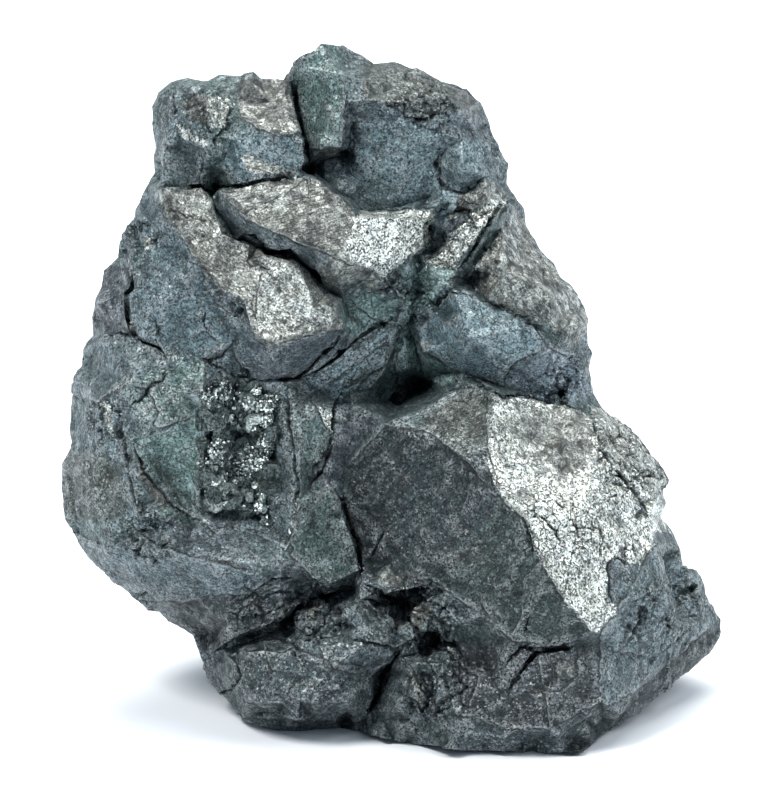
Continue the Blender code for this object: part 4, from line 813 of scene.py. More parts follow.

# bright fracture faces, pale partly in their own colour and partly as a painted highlight: how bright,
# and outline in grid squares
bright = {
    "blade": (0.56, [(160, 188), (198, 187), (206, 195), (213, 203), (212, 214), (221, 227), (234, 240),
        (255, 250), (285, 259), (300, 266), (313, 280), (324, 291), (334, 305), (342, 322), (341, 331),
        (325, 332), (300, 337), (285, 345), (268, 348), (256, 338), (250, 322), (247, 303), (222, 290),
        (205, 275), (195, 260), (185, 243), (175, 230), (163, 213), (157, 198)]),
    "bladeEnd": (0.68, [(268, 262), (300, 270), (330, 300), (340, 325), (300, 333), (268, 344),
        (256, 330), (258, 290)]),
    "wedge": (0.48, [(222, 190), (262, 183), (303, 178), (325, 184), (340, 193), (352, 207), (360, 218),
        (345, 262), (300, 243), (287, 238), (262, 228), (250, 222), (238, 212), (231, 203)]),
    "wedgeTop": (0.58, [(222, 190), (262, 183), (305, 179), (298, 192), (270, 201), (245, 206),
        (231, 203)]),
    "wedgeEnd": (1.0, [(358, 212), (400, 211), (430, 213), (433, 235), (425, 247), (398, 266),
        (385, 275), (360, 262), (345, 250), (352, 235)]),
    "wedgeTail": (0.55, [(345, 250), (385, 275), (382, 284), (350, 282), (330, 290), (318, 270)]),
    "wingStrip": (0.95, [(508, 201), (490, 205), (470, 214), (450, 236), (430, 262), (437, 270),
        (458, 262), (470, 245), (487, 224)]),
    "wingTop": (0.5, [(462, 195), (484, 182), (504, 190), (508, 200), (485, 205), (466, 212),
        (452, 222)]),
    "wingFacet": (0.56, [(515, 205), (526, 222), (541, 247), (562, 280), (584, 303), (590, 325),
        (575, 345), (547, 325), (500, 308), (478, 290), (472, 270), (480, 258), (495, 240), (505, 225)]),
    "heart": (0.82, [(497, 397), (515, 398), (530, 395), (545, 400), (575, 408), (590, 418), (598, 440),
        (606, 460), (615, 470), (630, 490), (645, 512), (655, 530), (655, 545), (640, 565), (618, 558),
        (608, 562), (605, 600), (616, 608), (600, 630), (590, 630), (578, 618), (563, 600), (550, 580),
        (540, 560), (530, 540), (528, 522), (515, 512), (503, 500), (495, 485), (488, 465), (488, 440),
        (492, 420)]),
    "rightBlocks": (0.66, [(590, 405), (605, 408), (630, 425), (650, 448), (668, 475), (666, 500),
        (664, 518), (672, 535), (655, 530), (645, 512), (630, 490), (613, 465), (600, 440)]),
    "plates": (1.0, [(625, 474), (634, 469), (644, 476), (656, 494), (649, 500), (638, 494)]),
    "sidePlate": (1.0, [(655, 503), (662, 518), (656, 530), (650, 516)]),
    "lowPlate": (1.0, [(628, 541), (634, 541), (634, 557), (628, 557)]),
    "triangle": (1.0, [(316, 407), (334, 409), (333, 437)]),
    "shoulder": (0.44, [(240, 80), (285, 80), (292, 95), (299, 133), (275, 137), (262, 130), (242, 119),
        (238, 98)]),
    "crescent": (0.75, [(177, 127), (184, 129), (195, 137), (208, 142), (209, 148), (197, 146),
        (184, 138)]),
    "boss": (0.72, [(208, 97), (229, 100), (230, 112), (222, 128), (212, 127)]),
    "bossLeft": (0.3, [(181, 104), (196, 94), (208, 97), (212, 127), (192, 122)]),
    "stripes": (0.6, [(243, 156), (254, 159), (270, 165), (298, 173), (294, 178), (266, 178),
        (248, 172)]),
    "topChip": (0.7, [(141, 238), (147, 236), (152, 246), (144, 253)]),
    "blockChip": (0.6, [(120, 322), (130, 322), (133, 328), (124, 328)]),
    "ledgeBit": (0.8, [(449, 265), (456, 264), (458, 269), (451, 270)]),
    "chip": (0.6, [(98, 402), (107, 404), (113, 425), (112, 433), (104, 422)]),
    "crownChip": (0.3, [(363, 80), (372, 84), (376, 99), (367, 101)]),
    "lip": (0.35, [(318, 149), (340, 146), (342, 151), (325, 157), (316, 156)]),
    "ribSpark": (0.8, [(297, 500), (301, 505), (292, 534), (287, 534)]),
    "rod": (0.55, [(412, 673), (420, 675), (426, 700), (422, 714), (414, 705)]),
    "footHollow": (0.4, [(553, 663), (570, 657), (579, 672), (565, 678), (556, 671)]),
    "heartLip": (0.3, [(375, 576), (385, 586), (405, 587), (420, 571), (400, 573), (383, 570)]),
    "footCrystal": (0.35, [(408, 604), (426, 599), (431, 615), (415, 633), (406, 622)]),
    "leftFoot": (0.35, [(308, 602), (320, 604), (318, 622), (309, 620)]),
    "valleyBit": (0.5, [(366, 280), (378, 278), (378, 290), (368, 291)]),
    "wingBit": (0.6, [(424, 340), (432, 343), (433, 353), (425, 350)]),
    "bowlStrip": (0.25, [(133, 452), (140, 458), (158, 490), (172, 506), (160, 508), (143, 485)]),
    "toe": (0.4, [(632, 540), (642, 545), (640, 560), (630, 556)]),
}


# where hairline cracks run: across, down, reach in squares, strength
hairlines = [
    (560, 530, 62, 1.0), (630, 470, 50, 0.7), (590, 590, 40, 0.5), (520, 410, 26, 0.5),
    (170, 205, 26, 0.4), (510, 700, 60, 0.35), (300, 690, 60, 0.3), (170, 300, 60, 0.25),
    (660, 620, 60, 0.35), (240, 330, 40, 0.2), (380, 80, 70, 0.25), (100, 480, 50, 0.3),
]


# where a bright face is duller: across, down, reach in squares, how much
duller = [
    (560, 442, 48, 0.32), (520, 425, 26, 0.2), (215, 262, 40, 0.12), (300, 235, 26, 0.2),
    (180, 205, 24, 0.08), (535, 300, 40, 0.15),
]


paint = {
    "driftPattern": (9.0, 2, 90.0),  # slow drift to green and plum: mm, octaves, start
    "driftFrom": 0.1, "driftTo": 0.6, "drift": 0.7,
    "footShade": 0.42, "footFrom": 520, "footTo": 680,  # the face darkens between these rows
    "blur": 5.0,  # squares that a tarnish patch fades over
    "shineReach": 8, "shineEdge": 4,  # squares: how far out it is felt, and its soft edge
    "duller": 0.6, "hairlines": 0.5,  # how softly these patches fade
    "hiddenCracks": 0.3,  # hairlines on the sides and the back
    "rounds": (3, 12),  # smoothing rounds for small and wide hollows
    "fine": (0.08, 0.4), "wide": (0.4, 0.5),  # mm of a full hollow, and the weight of its painted shade
    "edge": 0.05,  # mm that an edge stands out where its wear and painted highlight are full
}


# tarnish colours with painted light and shade, bright faces partly with a painted highlight, painted
# shade in hollows, and edges for wear and painted highlight, as attributes of the points
def paintMass(mesh, x, y, front):
    points = coordinates(mesh)
    colour = np.tile(np.array(slate), (len(points), 1))
    drift = fractalAt(points, *paint["driftPattern"])
    for way, tone in ((drift, green), (-drift, plum)):
        share = smoothStep(way, paint["driftFrom"], paint["driftTo"])
        colour += (np.array(tone) - colour) * share[:, None] * paint["drift"]
    foot = smoothStep(y, paint["footFrom"], paint["footTo"])
    colour *= (1 - paint["footShade"] * foot)[:, None]
    # each patch gives the tarnish's colour and a lightness that is partly painted light and shade
    for light, tone, outline in tarnishAndPaintedShading.values():
        share = insideShare(x, y, outline, paint["blur"]) * front
        colour += (np.array(tone) * light - colour) * share[:, None]
    # bright faces: paler in their own colour, and partly given a painted highlight
    shine = np.zeros(len(points))
    outside = -float(paint["shineReach"])
    rim = np.full(len(points), outside)
    for strength, outline in bright.values():
        signed = signedDistance(x, y, outline, paint["shineReach"])
        shine = np.maximum(shine, strength * smoothStep(signed, -paint["shineEdge"], 0))
        rim = np.maximum(rim, signed)
    for across, down, reach, less in duller:
        shine -= less * patchShare(x, y, across, down, reach, paint["duller"])
    addAttribute(mesh, "shine", np.clip(shine, 0, 1))
    addAttribute(mesh, "shineRim", np.where(front, rim, outside))
    crackle = patchesShare(x, y, hairlines, paint["hairlines"])
    addAttribute(mesh, "crackle", np.where(front, crackle, paint["hiddenCracks"]))
    fine, wide = hollowness(mesh)
    addColours(mesh, "tarnishAndPaintedShading", colour)
    # painted shade in small and wide hollows
    hollow = np.zeros(len(points))
    for deep, (full, weight) in ((fine, paint["fine"]), (wide, paint["wide"])):
        hollow += np.clip(deep / full, 0, 1) * weight
    addAttribute(mesh, "hollow", hollow)
    # edges that stand out get wear and a painted highlight
    addAttribute(mesh, "edge", np.clip(-fine / paint["edge"], 0, 1))


def makeMass():
    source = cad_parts["argyrodite_mass"]
    mesh = source.data.copy()
    mesh.materials.clear()
    item = bpy.data.objects.new("argyroditeMass", mesh)
    bpy.context.scene.collection.objects.link(item)
    shape = weldedShape(mesh)
    shape.to_mesh(mesh)
    shape.free()
    softenFacets(mesh)
    splitLongEdges(mesh, fineEdges, mass["crackEdge"], mass["splits"])
    x, y, front = carveMass(mesh)
    paintMass(mesh, x, y, front)
    for polygon in mesh.polygons:
        polygon.use_smooth = True
    selectOnly(item)
    bpy.ops.object.shade_smooth_by_angle(angle=math.radians(mass["crease"]))
    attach(item, "root")
    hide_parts("argyrodite_mass")
    print("mass:", len(mesh.polygons), "faces")
    return item


def addNode(tree, kind, inputs=None, **settings):
    item = tree.nodes.new(kind)
    for name, value in settings.items():
        setattr(item, name, value)
    for key, value in (inputs or {}).items():
        if isinstance(value, bpy.types.NodeSocket):
            tree.links.new(value, item.inputs[key])
        else:
            item.inputs[key].default_value = value
    return item


def maths(tree, operation, first, second=0.0, third=0.0, clamp=False):
    inputs = {0: first, 1: second, 2: third}
    return addNode(tree, "ShaderNodeMath", inputs, operation=operation, use_clamp=clamp).outputs[0]


def mixColours(tree, share, first, second, blend="MIX"):
    inputs = {0: share, 6: first, 7: second}
    settings = {"data_type": "RGBA", "blend_type": blend, "clamp_factor": True}
    return addNode(tree, "ShaderNodeMix", inputs, **settings).outputs[2]


def mapRange(tree, value, low, high, toLow=0.0, toHigh=1.0):
    inputs = {0: value, 1: low, 2: high, 3: toLow, 4: toHigh}
    return addNode(tree, "ShaderNodeMapRange", inputs, clamp=True).outputs[0]


# a sum of values, each with its own weight
def weighted(tree, total, *parts):
    for value, weight in parts:
        total = maths(tree, "MULTIPLY_ADD", value, weight, total)
    return total


def product(tree, first, *others):
    for other in others:
        first = maths(tree, "MULTIPLY", first, other)
    return first


def softTexture(tree, place, scale, detail=2.0, roughness=0.5, output="Fac"):
    return addNode(tree, "ShaderNodeTexNoise", {
        "Vector": place, "Scale": scale, "Detail": detail,
        "Roughness": roughness}).outputs[output]


def cellTexture(tree, place, scale, output="Color", feature="F1"):
    return addNode(tree, "ShaderNodeTexVoronoi", {
        "Vector": place, "Scale": scale}, feature=feature).outputs[output]


def vectorMaths(tree, operation, *values):
    inputs = dict(enumerate(values))
    return addNode(tree, "ShaderNodeVectorMath", inputs, operation=operation).outputs


def multiplied(tree, colour, other):
    return mixColours(tree, 1.0, colour, other, "MULTIPLY")


def channel(tree, colour, which):
    return addNode(tree, "ShaderNodeSeparateColor", {0: colour}).outputs[which]


def pointValue(tree, name, output="Fac"):
    return addNode(tree, "ShaderNodeAttribute", attribute_name=name).outputs[output]


# a shader group that takes a place and a scale, and gives the named values
def newGroup(name, *outputs):
    tree = bpy.data.node_groups.new(name, "ShaderNodeTree")
    for label, kind in (("Vector", "NodeSocketVector"), ("Scale", "NodeSocketFloat")):
        tree.interface.new_socket(label, in_out="INPUT", socket_type=kind)
    for label in outputs:
        tree.interface.new_socket(label, in_out="OUTPUT", socket_type="NodeSocketFloat")
    given = tree.nodes.new("NodeGroupInput").outputs
    return tree, given["Vector"], given["Scale"], tree.nodes.new("NodeGroupOutput").inputs


chipSteps = {"large": 0.12, "small": 0.33}  # chips for each grain, along a line


# the broken surface of the sulphide in tones: fine grains, the few with a painted glint, chips,
# wide clouds, and the thin gaps round some of the chips
def makeGrainGroup():
    tree, place, scale, result = newGroup(
        "sulphideGrain", "Grain", "Flecks", "Cloud", "Hairline", "Chips", "Nicks")
    soft = softTexture(tree, place, product(tree, scale, 1.1), 1.0, 0.6)
    pick = channel(tree, cellTexture(tree, place, scale), 0)
    mixed = weighted(tree, mapRange(tree, soft, 0.3, 0.7), (pick, 0.9))
    tree.links.new(mapRange(tree, mixed, 0.25, 1.65), result["Grain"])
    tree.links.new(mapRange(tree, pick, 0.9, 0.95), result["Flecks"])
    cloud = softTexture(tree, place, product(tree, scale, 0.1), 4.0, 0.65)
    tree.links.new(mapRange(tree, cloud, 0.34, 0.66), result["Cloud"])
    patchy = softTexture(tree, place, product(tree, scale, 0.2))
    moved = addBend(tree, place, scale)
    tones = []
    seams = []
    for share, thin in ((chipSteps["large"], 0.045), (chipSteps["small"], 0.1)):
        size = product(tree, scale, share)
        tones.append(channel(tree, cellTexture(tree, moved, size), 2))
        seam = cellTexture(tree, moved, size, "Distance", "DISTANCE_TO_EDGE")
        seams.append(mapRange(tree, seam, thin * 0.3, thin, 1.0, 0.0))
    tree.links.new(weighted(tree, product(tree, tones[0], 0.4), (tones[1], 0.6)),
                   result["Chips"])
    tree.links.new(product(tree, seams[0], mapRange(tree, patchy, 0.44, 0.52)),
                   result["Hairline"])
    coarse = product(tree, seams[0], mapRange(tree, patchy, 0.54, 0.59))
    fine = product(tree, seams[1], mapRange(tree, cloud, 0.52, 0.6))
    tree.links.new(maths(tree, "MAXIMUM", coarse, fine), result["Nicks"])
    return tree


# bends the grain's place a little, so that no chip has ruled sides
def addBend(tree, place, scale):
    bend = softTexture(tree, place, product(tree, scale, 0.3), 3.0, output="Color")
    shift = vectorMaths(tree, "MULTIPLY", bend, (0.00013, 0.00013, 0.00013))[0]
    return vectorMaths(tree, "ADD", place, shift)[0]


# a height made of little facets, each tilted its own way
def addFacets(tree, place, scale, step):
    cells = addNode(tree, "ShaderNodeTexVoronoi", {"Vector": place, "Scale": scale})
    away = vectorMaths(tree, "SUBTRACT", place, cells.outputs["Position"])[0]
    tilt = vectorMaths(tree, "MULTIPLY_ADD", cells.outputs["Color"], (2.0, 2.0, 2.0),
                       (-1.0, -1.0, -1.0))[0]
    slope = product(tree, vectorMaths(tree, "DOT_PRODUCT", away, tilt)["Value"], scale)
    return weighted(tree, slope, (channel(tree, cells.outputs["Color"], 1), step))


# small bumps of the broken surface: chips, finer chips and grain
def makeReliefGroup():
    tree, place, scale, result = newGroup("brokenRelief", "Height")
    bent = addBend(tree, place, scale)
    chips = addFacets(tree, bent, product(tree, scale, chipSteps["large"]), 0.1)
    small = addFacets(tree, bent, product(tree, scale, chipSteps["small"]), 0.1)
    coarse = softTexture(tree, place, product(tree, scale, 0.5), 2.0, 0.7)
    height = weighted(tree, chips, (small, 0.4), (coarse, 0.3))
    tree.links.new(height, result["Height"])
    return tree


grainGroup = makeGrainGroup()
reliefGroup = makeReliefGroup()

tarnishLook = {
    "grainScale": 7200,  # grains per metre: about 0.14 mm
    "metallic": 0.55, "roughness": 0.58, "relief": 0.0003,
    "grainRough": -0.16, "shineRough": -0.08,  # paler grains and bright faces are smoother
    "darkest": 0.2, "lightest": 2.0,  # the grains beside the mean tone
    "clouds": (0.84, 1.16), "streaks": (0.6, 1.4),  # the same for wide patches, ridges
    "chips": 0.42,  # how much the chips differ in tone
    "flecks": 0.2, "flecksBroken": 0.3,  # grains with a painted glint, and more of them where it is broken
    "worn": 0.5, "proud": 0.35,  # how bright the wear and painted highlight on edges, and the painted highlight on creases, are
    "hollowShade": 0.6, "crackShade": 0.9, "nickShade": 0.5,  # how dark the painted shade in these is
    # colours of the wear and painted highlight on edges and creases, and of the painted glint on grains
    "wearAndHighlight": (0.34, 0.37, 0.38, 1.0), "flash": (0.42, 0.48, 0.48, 1.0),
    "palest": (0.55, 0.60, 0.585, 1.0), "dullest": (0.018, 0.022, 0.022, 1.0),
    "glowCurve": 1.8, "calm": 0.62,  # duller bright faces are less speckled
    "warm": (1.03, 1.0, 0.945, 1.0),  # tint of the bright faces in patches
    "paleDark": 0.1, "paleMiddle": 1.1, "paleLight": 2.2,  # pale grains beside the mean tone
    # colour of the painted shade in hollows, cracks, hairlines and crease feet
    "paintedShade": (0.013, 0.017, 0.019, 1.0),
}


def newMaterial(name):
    material = bpy.data.materials.new(name)
    material.use_nodes = True
    tree = material.node_tree
    shader = tree.nodes["Principled BSDF"]
    place = addNode(tree, "ShaderNodeTexCoord").outputs["Object"]
    return material, tree, shader, place


def greyOf(tree, value):
    return addNode(tree, "ShaderNodeCombineColor", {0: value, 1: value, 2: value}).outputs[0]


def addGroup(tree, group, place, scale):
    inputs = {"Vector": place, "Scale": scale}
    return addNode(tree, "ShaderNodeGroup", inputs, node_tree=group).outputs


def addBump(tree, shader, height, distance):
    inputs = {"Strength": 1.0, "Distance": distance, "Height": height}
    bump = addNode(tree, "ShaderNodeBump", inputs)
    tree.links.new(bump.outputs["Normal"], shader.inputs["Normal"])


def tarnishedStone():
    look = tarnishLook
    material, tree, shader, place = newMaterial("tarnishedArgyrodite")
    grain = addGroup(tree, grainGroup, place, look["grainScale"])
    shine, rough, crackle, hollow, edge, crack = [
        pointValue(tree, name) for name in ("shine", "rough", "crackle", "hollow", "edge", "crack")]
    streaks = softTexture(tree, pointValue(tree, "streak", "Vector"), 0.7, 3.0)
    # the tarnished ground, its lightness partly painted light and shade: every grain a little lighter or
    # darker, some with a painted cold glint
    light = product(
        tree, mapRange(tree, grain["Grain"], 0.0, 1.0, look["darkest"], look["lightest"]),
        mapRange(tree, grain["Cloud"], 0.0, 1.0, *look["clouds"]),
        mapRange(tree, streaks, 0.35, 0.65, *look["streaks"]),
        mapRange(tree, grain["Chips"], 0.1, 0.9, 1 - look["chips"], 1 + look["chips"]))
    base = multiplied(tree, pointValue(tree, "tarnishAndPaintedShading", "Color"), greyOf(tree, light))
    # a few grains get a painted glint
    flecks = weighted(tree, look["flecks"], (rough, look["flecksBroken"]))
    flecks = product(tree, grain["Flecks"], flecks)
    base = mixColours(tree, flecks, base, look["flash"])
    wearAndHighlight = product(tree, edge, mapRange(tree, grain["Grain"], 0.2, 0.8), look["worn"])
    base = mixColours(tree, wearAndHighlight, base, look["wearAndHighlight"])
    # the bright faces: pale grains broken up by dark ones, partly their own colour and partly a painted
    # highlight
    glow = weighted(tree, shine, (grain["Cloud"], 0.35), (streaks, 1.0), (grain["Chips"], 0.6))
    glow = maths(tree, "POWER", mapRange(tree, glow, 0.97, 1.97), look["glowCurve"])
    pale = mixColours(tree, glow, look["dullest"], look["palest"])
    speck = mapRange(tree, grain["Grain"], 0.2, 0.85, look["paleDark"], look["paleLight"])
    calm = mapRange(tree, shine, 0.55, 0.85, look["calm"], 1.0)
    middle = look["paleMiddle"]
    speck = weighted(tree, middle, (maths(tree, "SUBTRACT", speck, middle), calm))
    tint = mixColours(tree, grain["Cloud"], (1.0, 1.0, 1.0, 1.0), look["warm"])
    pale = multiplied(tree, multiplied(tree, pale, greyOf(tree, speck)), tint)
    rim = weighted(tree, pointValue(tree, "shineRim"), (grain["Chips"], 3.0),
                   (grain["Grain"], 1.6))
    base = mixColours(tree, mapRange(tree, rim, 1.9, 2.7), base, pale)
    # the proud side of a crease gets a painted highlight, and its foot a painted shadow
    bent = weighted(tree, pointValue(tree, "crease"), (grain["Chips"], 2.4))
    broken = mapRange(tree, grain["Cloud"], 0.25, 0.6, 0.25, 1.0)
    proud = product(tree, mapRange(tree, bent, -1.2, 0.3), mapRange(tree, bent, 0.7, 1.3, 1.0, 0.0))
    foot = product(tree, mapRange(tree, bent, 0.9, 1.5), mapRange(tree, bent, 2.2, 4.8, 1.0, 0.0))
    base = mixColours(tree, product(tree, proud, broken, look["proud"]), base, look["wearAndHighlight"])
    # painted shade darkens hollows, hairlines, cracks and the feet of creases
    lines = product(tree, grain["Hairline"], crackle)
    foot = product(tree, foot, broken)
    for more, dark in ((grain["Nicks"], look["nickShade"]), (foot, look["crackShade"])):
        lines = maths(tree, "MAXIMUM", lines, product(tree, more, dark))
    shade = maths(tree, "MAXIMUM", product(tree, hollow, look["hollowShade"]), lines)
    crack = product(tree, crack, look["crackShade"])
    shade = maths(tree, "MAXIMUM", shade, crack, clamp=True)
    base = mixColours(tree, shade, base, look["paintedShade"])
    tree.links.new(base, shader.inputs["Base Color"])
    shader.inputs["Metallic"].default_value = look["metallic"]
    finish = weighted(tree, look["roughness"], (grain["Grain"], look["grainRough"]),
                      (shine, look["shineRough"]))
    tree.links.new(finish, shader.inputs["Roughness"])
    relief = addGroup(tree, reliefGroup, place, look["grainScale"])["Height"]
    addBump(tree, shader, weighted(tree, relief, (streaks, 0.3), (lines, -0.3)), look["relief"])
    return material


crystalLook = {
    "metallic": 0.6, "roughness": 0.22, "grainScale": 6500, "relief": 0.0001,
    "stone": (0.045, 0.062, 0.062, 1.0), "metal": (0.62, 0.70, 0.68, 1.0),
    "darkest": 0.1, "lightest": 1.7, "chips": 0.5,  # tones of the grains and chips
    "cloudRough": 0.2,
}


def crystalMetal():
    look = crystalLook
    material, tree, shader, place = newMaterial("brightCrystals")
    grain = addGroup(tree, grainGroup, place, look["grainScale"])
    # the tone runs from the dark stone to the pale metal: the darkest is painted shade in the hole, the
    # brightest partly painted glints
    light = mixColours(tree, pointValue(tree, "tone"), look["stone"], look["metal"])
    share = mapRange(tree, grain["Grain"], 0.2, 0.85, look["darkest"], look["lightest"])
    share = weighted(tree, share, (grain["Chips"], look["chips"]))
    tree.links.new(multiplied(tree, light, greyOf(tree, share)), shader.inputs["Base Color"])
    shader.inputs["Metallic"].default_value = look["metallic"]
    rough = weighted(tree, look["roughness"], (grain["Cloud"], look["cloudRough"]))
    tree.links.new(rough, shader.inputs["Roughness"])
    relief = addGroup(tree, reliefGroup, place, look["grainScale"])["Height"]
    addBump(tree, shader, relief, look["relief"])
    return material


stone = makeMass()
stone.data.materials.clear()
stone.data.materials.append(tarnishedStone())
stoneTree = BVHTree.FromPolygons([v.co.copy() for v in stone.data.vertices],
                                 [tuple(p.vertices) for p in stone.data.polygons])


# where a surface is first met at a grid place, on the way in from the front
def seatAt(across, down, tree):
    start = toWorld(across, down, -30)
    inward = (toWorld(across, down, 0) - start).normalized()
    return tree.ray_cast(start, inward)[0]


# one blocky crystal, one unit across, with its corners cut off flat
def modelCrystal():
    bpy.ops.object.select_all(action="DESELECT")
    bpy.ops.mesh.primitive_cube_add(size=1.0)
    crystal = bpy.context.object
    bpy.ops.object.mode_set(mode="EDIT")
    bpy.ops.mesh.select_all(action="SELECT")
    bpy.ops.mesh.bevel(offset=0.28, affect="VERTICES", segments=1)
    bpy.ops.mesh.quads_convert_to_tris()
    bpy.ops.object.mode_set(mode="OBJECT")
    mesh = crystal.data.copy()
    bpy.data.objects.remove(crystal)
    return mesh


# the crystals stand in druses: across, down and reach in squares, how many, the smallest and
# largest in mm, and how bright, the brightest partly as painted glints
druses = [
    (222, 386, 10, 60, 0.07, 0.16, 1.0), (212, 396, 6, 40, 0.07, 0.16, 0.9),
    (231, 396, 6, 40, 0.08, 0.22, 1.1), (222, 404, 10, 60, 0.1, 0.3, 0.3),
    (252, 404, 8, 90, 0.08, 0.22, 1.3), (266, 404, 7, 110, 0.08, 0.22, 1.4),
    (257, 391, 4, 30, 0.08, 0.2, 1.3), (253, 418, 9, 70, 0.06, 0.14, 0.9),
    (246, 422, 6, 16, 0.3, 0.7, 0.12), (268, 424, 6, 60, 0.07, 0.16, 1.0),
    (266, 444, 7, 120, 0.07, 0.18, 1.3), (258, 460, 9, 150, 0.07, 0.18, 1.2),
    (244, 466, 9, 110, 0.07, 0.16, 1.0), (216, 446, 9, 80, 0.07, 0.18, 0.8),
    (214, 464, 9, 70, 0.08, 0.24, 0.4), (228, 466, 7, 50, 0.08, 0.2, 0.5),
    (212, 484, 4, 40, 0.12, 0.3, 1.5), (222, 497, 9, 24, 0.35, 0.9, 0.14),
    (224, 490, 10, 40, 0.06, 0.14, 0.9), (245, 490, 9, 30, 0.25, 0.6, 0.2),
    (260, 492, 5, 50, 0.07, 0.18, 0.8), (261, 506, 4, 90, 0.08, 0.24, 1.4),
    (265, 520, 4, 50, 0.07, 0.2, 1.3), (239, 432, 3, 6, 0.35, 0.6, 0.12),
    (207, 418, 4, 12, 0.5, 1.1, 0.08), (205, 446, 4, 9, 0.4, 0.9, 0.1),
    (206, 478, 4, 12, 0.5, 1.0, 0.09), (272, 470, 4, 10, 0.5, 1.1, 0.08),
    (271, 492, 4, 10, 0.5, 1.0, 0.09), (273, 432, 3, 7, 0.5, 0.9, 0.08), (247, 384, 4, 9, 0.7, 1.3, 0.1),
    (219, 416, 4, 5, 0.7, 1.1, 0.08), (254, 420, 3, 4, 0.6, 1.0, 0.35), (222, 496, 6, 8, 0.7, 1.1, 0.1),
    (240, 508, 6, 8, 0.5, 1.0, 0.08), (203, 462, 5, 40, 0.07, 0.16, 0.9),
    (204, 396, 5, 36, 0.07, 0.16, 0.9), (276, 398, 4, 30, 0.07, 0.18, 1.1),
]
crust = {
    "seed": 5,
    "hole": (238, 434, 11, 10),  # the bare hole, painted darkest as shade: across, down, and its half width and height
    "ground": 0.11,  # how bright the crust under the crystals is
    "bridge": 3.5,  # squares round a crystal that it doesn't sink below
    "overhang": 1.2,  # mm; what stands further out than this is left aside
    "sunk": 0.25, "sunkFrom": 0.3,  # share of its size over so many mm that a crystal is sunk
    "spread": 0.6,  # spread of a druse beside its reach
    "sides": (0.5, 1.6),  # sides of a crystal beside its size
    "glint": 1.6, "glintPower": 2.3,  # a few crystals are much brighter than the rest, partly as painted glints
    "outline": [(200, 390), (212, 380), (228, 381), (238, 384), (250, 383), (262, 387), (280, 394),
        (281, 414), (275, 430), (279, 446), (273, 462), (276, 482), (268, 505), (270, 528),
        (256, 518), (246, 513), (232, 514), (218, 514), (204, 504), (201, 488), (196, 468),
        (202, 446), (206, 433), (203, 418), (205, 404)],
}


# adds a turned and sized copy of the source to the target, all in one tone
def addCopy(target, source, place, turn, size, tone, layer):
    matrix = Matrix.Translation(place) @ turn.to_4x4() @ Matrix.Diagonal((*size, 1.0))
    fresh = {v: target.verts.new(matrix @ v.co) for v in source.verts}
    for vertex in fresh.values():
        vertex[layer] = tone
    for f in source.faces:
        target.faces.new([fresh[v] for v in f.verts])


# the foremost place within a few squares, so that no crystal sinks into the pocket's rim
def foremost(across, down, trees, sunk):
    step = crust["bridge"]
    depths = []
    for right, below in ((0, 0), (step, 0), (-step, 0), (0, step), (0, -step)):
        met = [seatAt(across + right, down + below, tree) for tree in trees]
        depths.append(min(toGrid(np.array([tuple(p)]))[2][0] for p in met if p is not None))
    highest = depths[0] - crust["overhang"]
    return toWorld(across, down, min(d for d in depths if d >= highest) + sunk)


def inHole(across, down):
    x, y, wide, tall = crust["hole"]
    return ((across - x) / wide) ** 2 + ((down - y) / tall) ** 2 < 1


def makeCrust(crystalMesh):
    random.seed(crust["seed"])
    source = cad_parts["pocket_crust"]
    shape = weldedShape(source.data)
    layer = shape.verts.layers.float.new("tone")
    for vertex in shape.verts:
        x, y = toGrid(np.array([tuple(vertex.co)]))[:2]
        # the hole gets the darkest tone, a painted shade
        vertex[layer] = 0.0 if inHole(x[0], y[0]) else crust["ground"]
    trees = [BVHTree.FromBMesh(shape), stoneTree]
    single = bmesh.new()
    single.from_mesh(crystalMesh)
    placed = 0
    for x, y, reach, count, smallest, largest, light in druses:
        for _ in range(count):
            wide = reach * crust["spread"]
            across, down = random.gauss(x, wide), random.gauss(y, wide)
            size = random.uniform(smallest, largest) * 0.001
            turn = Matrix.Rotation(random.uniform(0, 6.3), 3, "Z") @ \
                Matrix.Rotation(random.uniform(0, 6.3), 3, "X")
            sides = [size * random.uniform(*crust["sides"]) for _ in range(3)]
            tone = min(1.0, light * crust["glint"] * random.random() ** crust["glintPower"])
            inside = signedDistance(np.array([across]), np.array([down]), crust["outline"])[0]
            if inside < 0 or inHole(across, down):
                continue
            sunk = max(0.0, size * 1000 - crust["sunkFrom"]) * crust["sunk"]
            addCopy(shape, single, foremost(across, down, trees, sunk), turn, sides, tone, layer)
            placed += 1
    single.free()
    mesh = bpy.data.meshes.new("pocketCrust")
    shape.to_mesh(mesh)
    shape.free()
    item = bpy.data.objects.new("pocketCrust", mesh)
    bpy.context.scene.collection.objects.link(item)
    mesh.materials.append(crystalMetal())
    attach(item, "root")
    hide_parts("pocket_crust")
    print("crust:", placed, "crystals,", len(mesh.polygons), "faces")


makeCrust(modelCrystal())

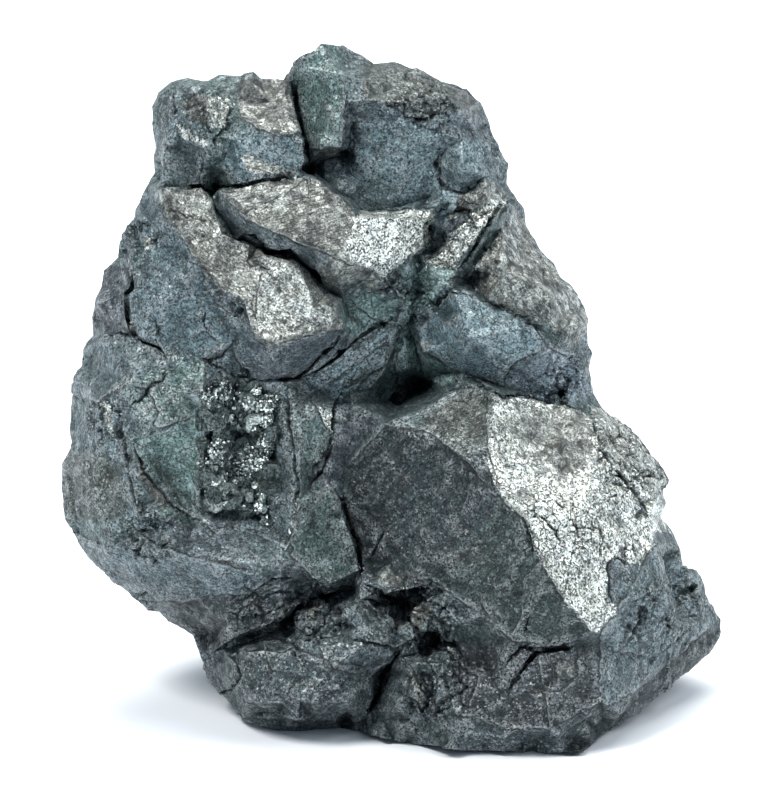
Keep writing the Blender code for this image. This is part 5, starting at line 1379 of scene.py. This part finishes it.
studio = {
    "floor": 3.0, "floorColour": (0.81, 0.85, 0.90, 1.0), "floorRough": 0.7,
    "sky": (0.72, 0.86, 1.0, 1.0), "skyStrength": 0.4,
    "aim": (0, 0, 0.02), "view": (390, 400, 10),  # the view's middle, on the face
    "distance": 1.2, "viewHeight": 0.0571, "sensor": 36.0, "nearest": 0.05, "furthest": 20,
    # place and size in metres, watts and colour
    "lights": {
        "keyLight": ((-0.42, -0.32, 0.75), (0.28, 0.28), 8.2, (1.0, 0.975, 0.94)),
        "topLight": ((0.1, 0.3, 0.9), (0.8, 0.6), 12.5, (1.0, 0.975, 0.94)),
        "sideLight": ((0.6, -0.2, 0.6), (0.5, 0.5), 4.0, (1, 1, 1)),
    },
}


def makeStage():
    bpy.ops.object.select_all(action="DESELECT")
    bpy.ops.mesh.primitive_plane_add(size=studio["floor"])
    floor = bpy.context.object
    floor.name = "floor"
    material, _, shader, _ = newMaterial("paleFloor")
    shader.inputs["Base Color"].default_value = studio["floorColour"]
    shader.inputs["Roughness"].default_value = studio["floorRough"]
    floor.data.materials.append(material)


def addLight(name, place, size, power, colour):
    data = bpy.data.lights.new(name, "AREA")
    data.shape = "RECTANGLE"
    data.size, data.size_y = size
    data.energy = power
    data.color = colour
    lamp = bpy.data.objects.new(name, data)
    lamp.location = place
    aim = Vector(studio["aim"]) - Vector(place)
    lamp.rotation_euler = aim.to_track_quat("-Z", "Y").to_euler()
    bpy.context.scene.collection.objects.link(lamp)


def makeLights():
    world = bpy.data.worlds.new("studio")
    world.use_nodes = True
    background = world.node_tree.nodes["Background"]
    background.inputs["Color"].default_value = studio["sky"]
    background.inputs["Strength"].default_value = studio["skyStrength"]
    bpy.context.scene.world = world
    for name, (place, size, power, colour) in studio["lights"].items():
        addLight(name, place, size, power, colour)


def makeCamera():
    target = toWorld(*studio["view"])
    data = bpy.data.cameras.new("camera")
    data.sensor_width = studio["sensor"]
    data.lens = studio["sensor"] * studio["distance"] / studio["viewHeight"]
    data.clip_start = studio["nearest"]
    data.clip_end = studio["furthest"]
    camera = bpy.data.objects.new("camera", data)
    inward = Vector((0, leanCos, -leanSin))
    camera.location = target - inward * studio["distance"]
    camera.rotation_euler = (math.pi / 2 - face["lean"], 0, 0)
    bpy.context.scene.collection.objects.link(camera)
    bpy.context.scene.camera = camera


makeStage()
makeLights()
makeCamera()
bpy.context.scene.view_settings.view_transform = "Standard"
bpy.context.view_layer.update()
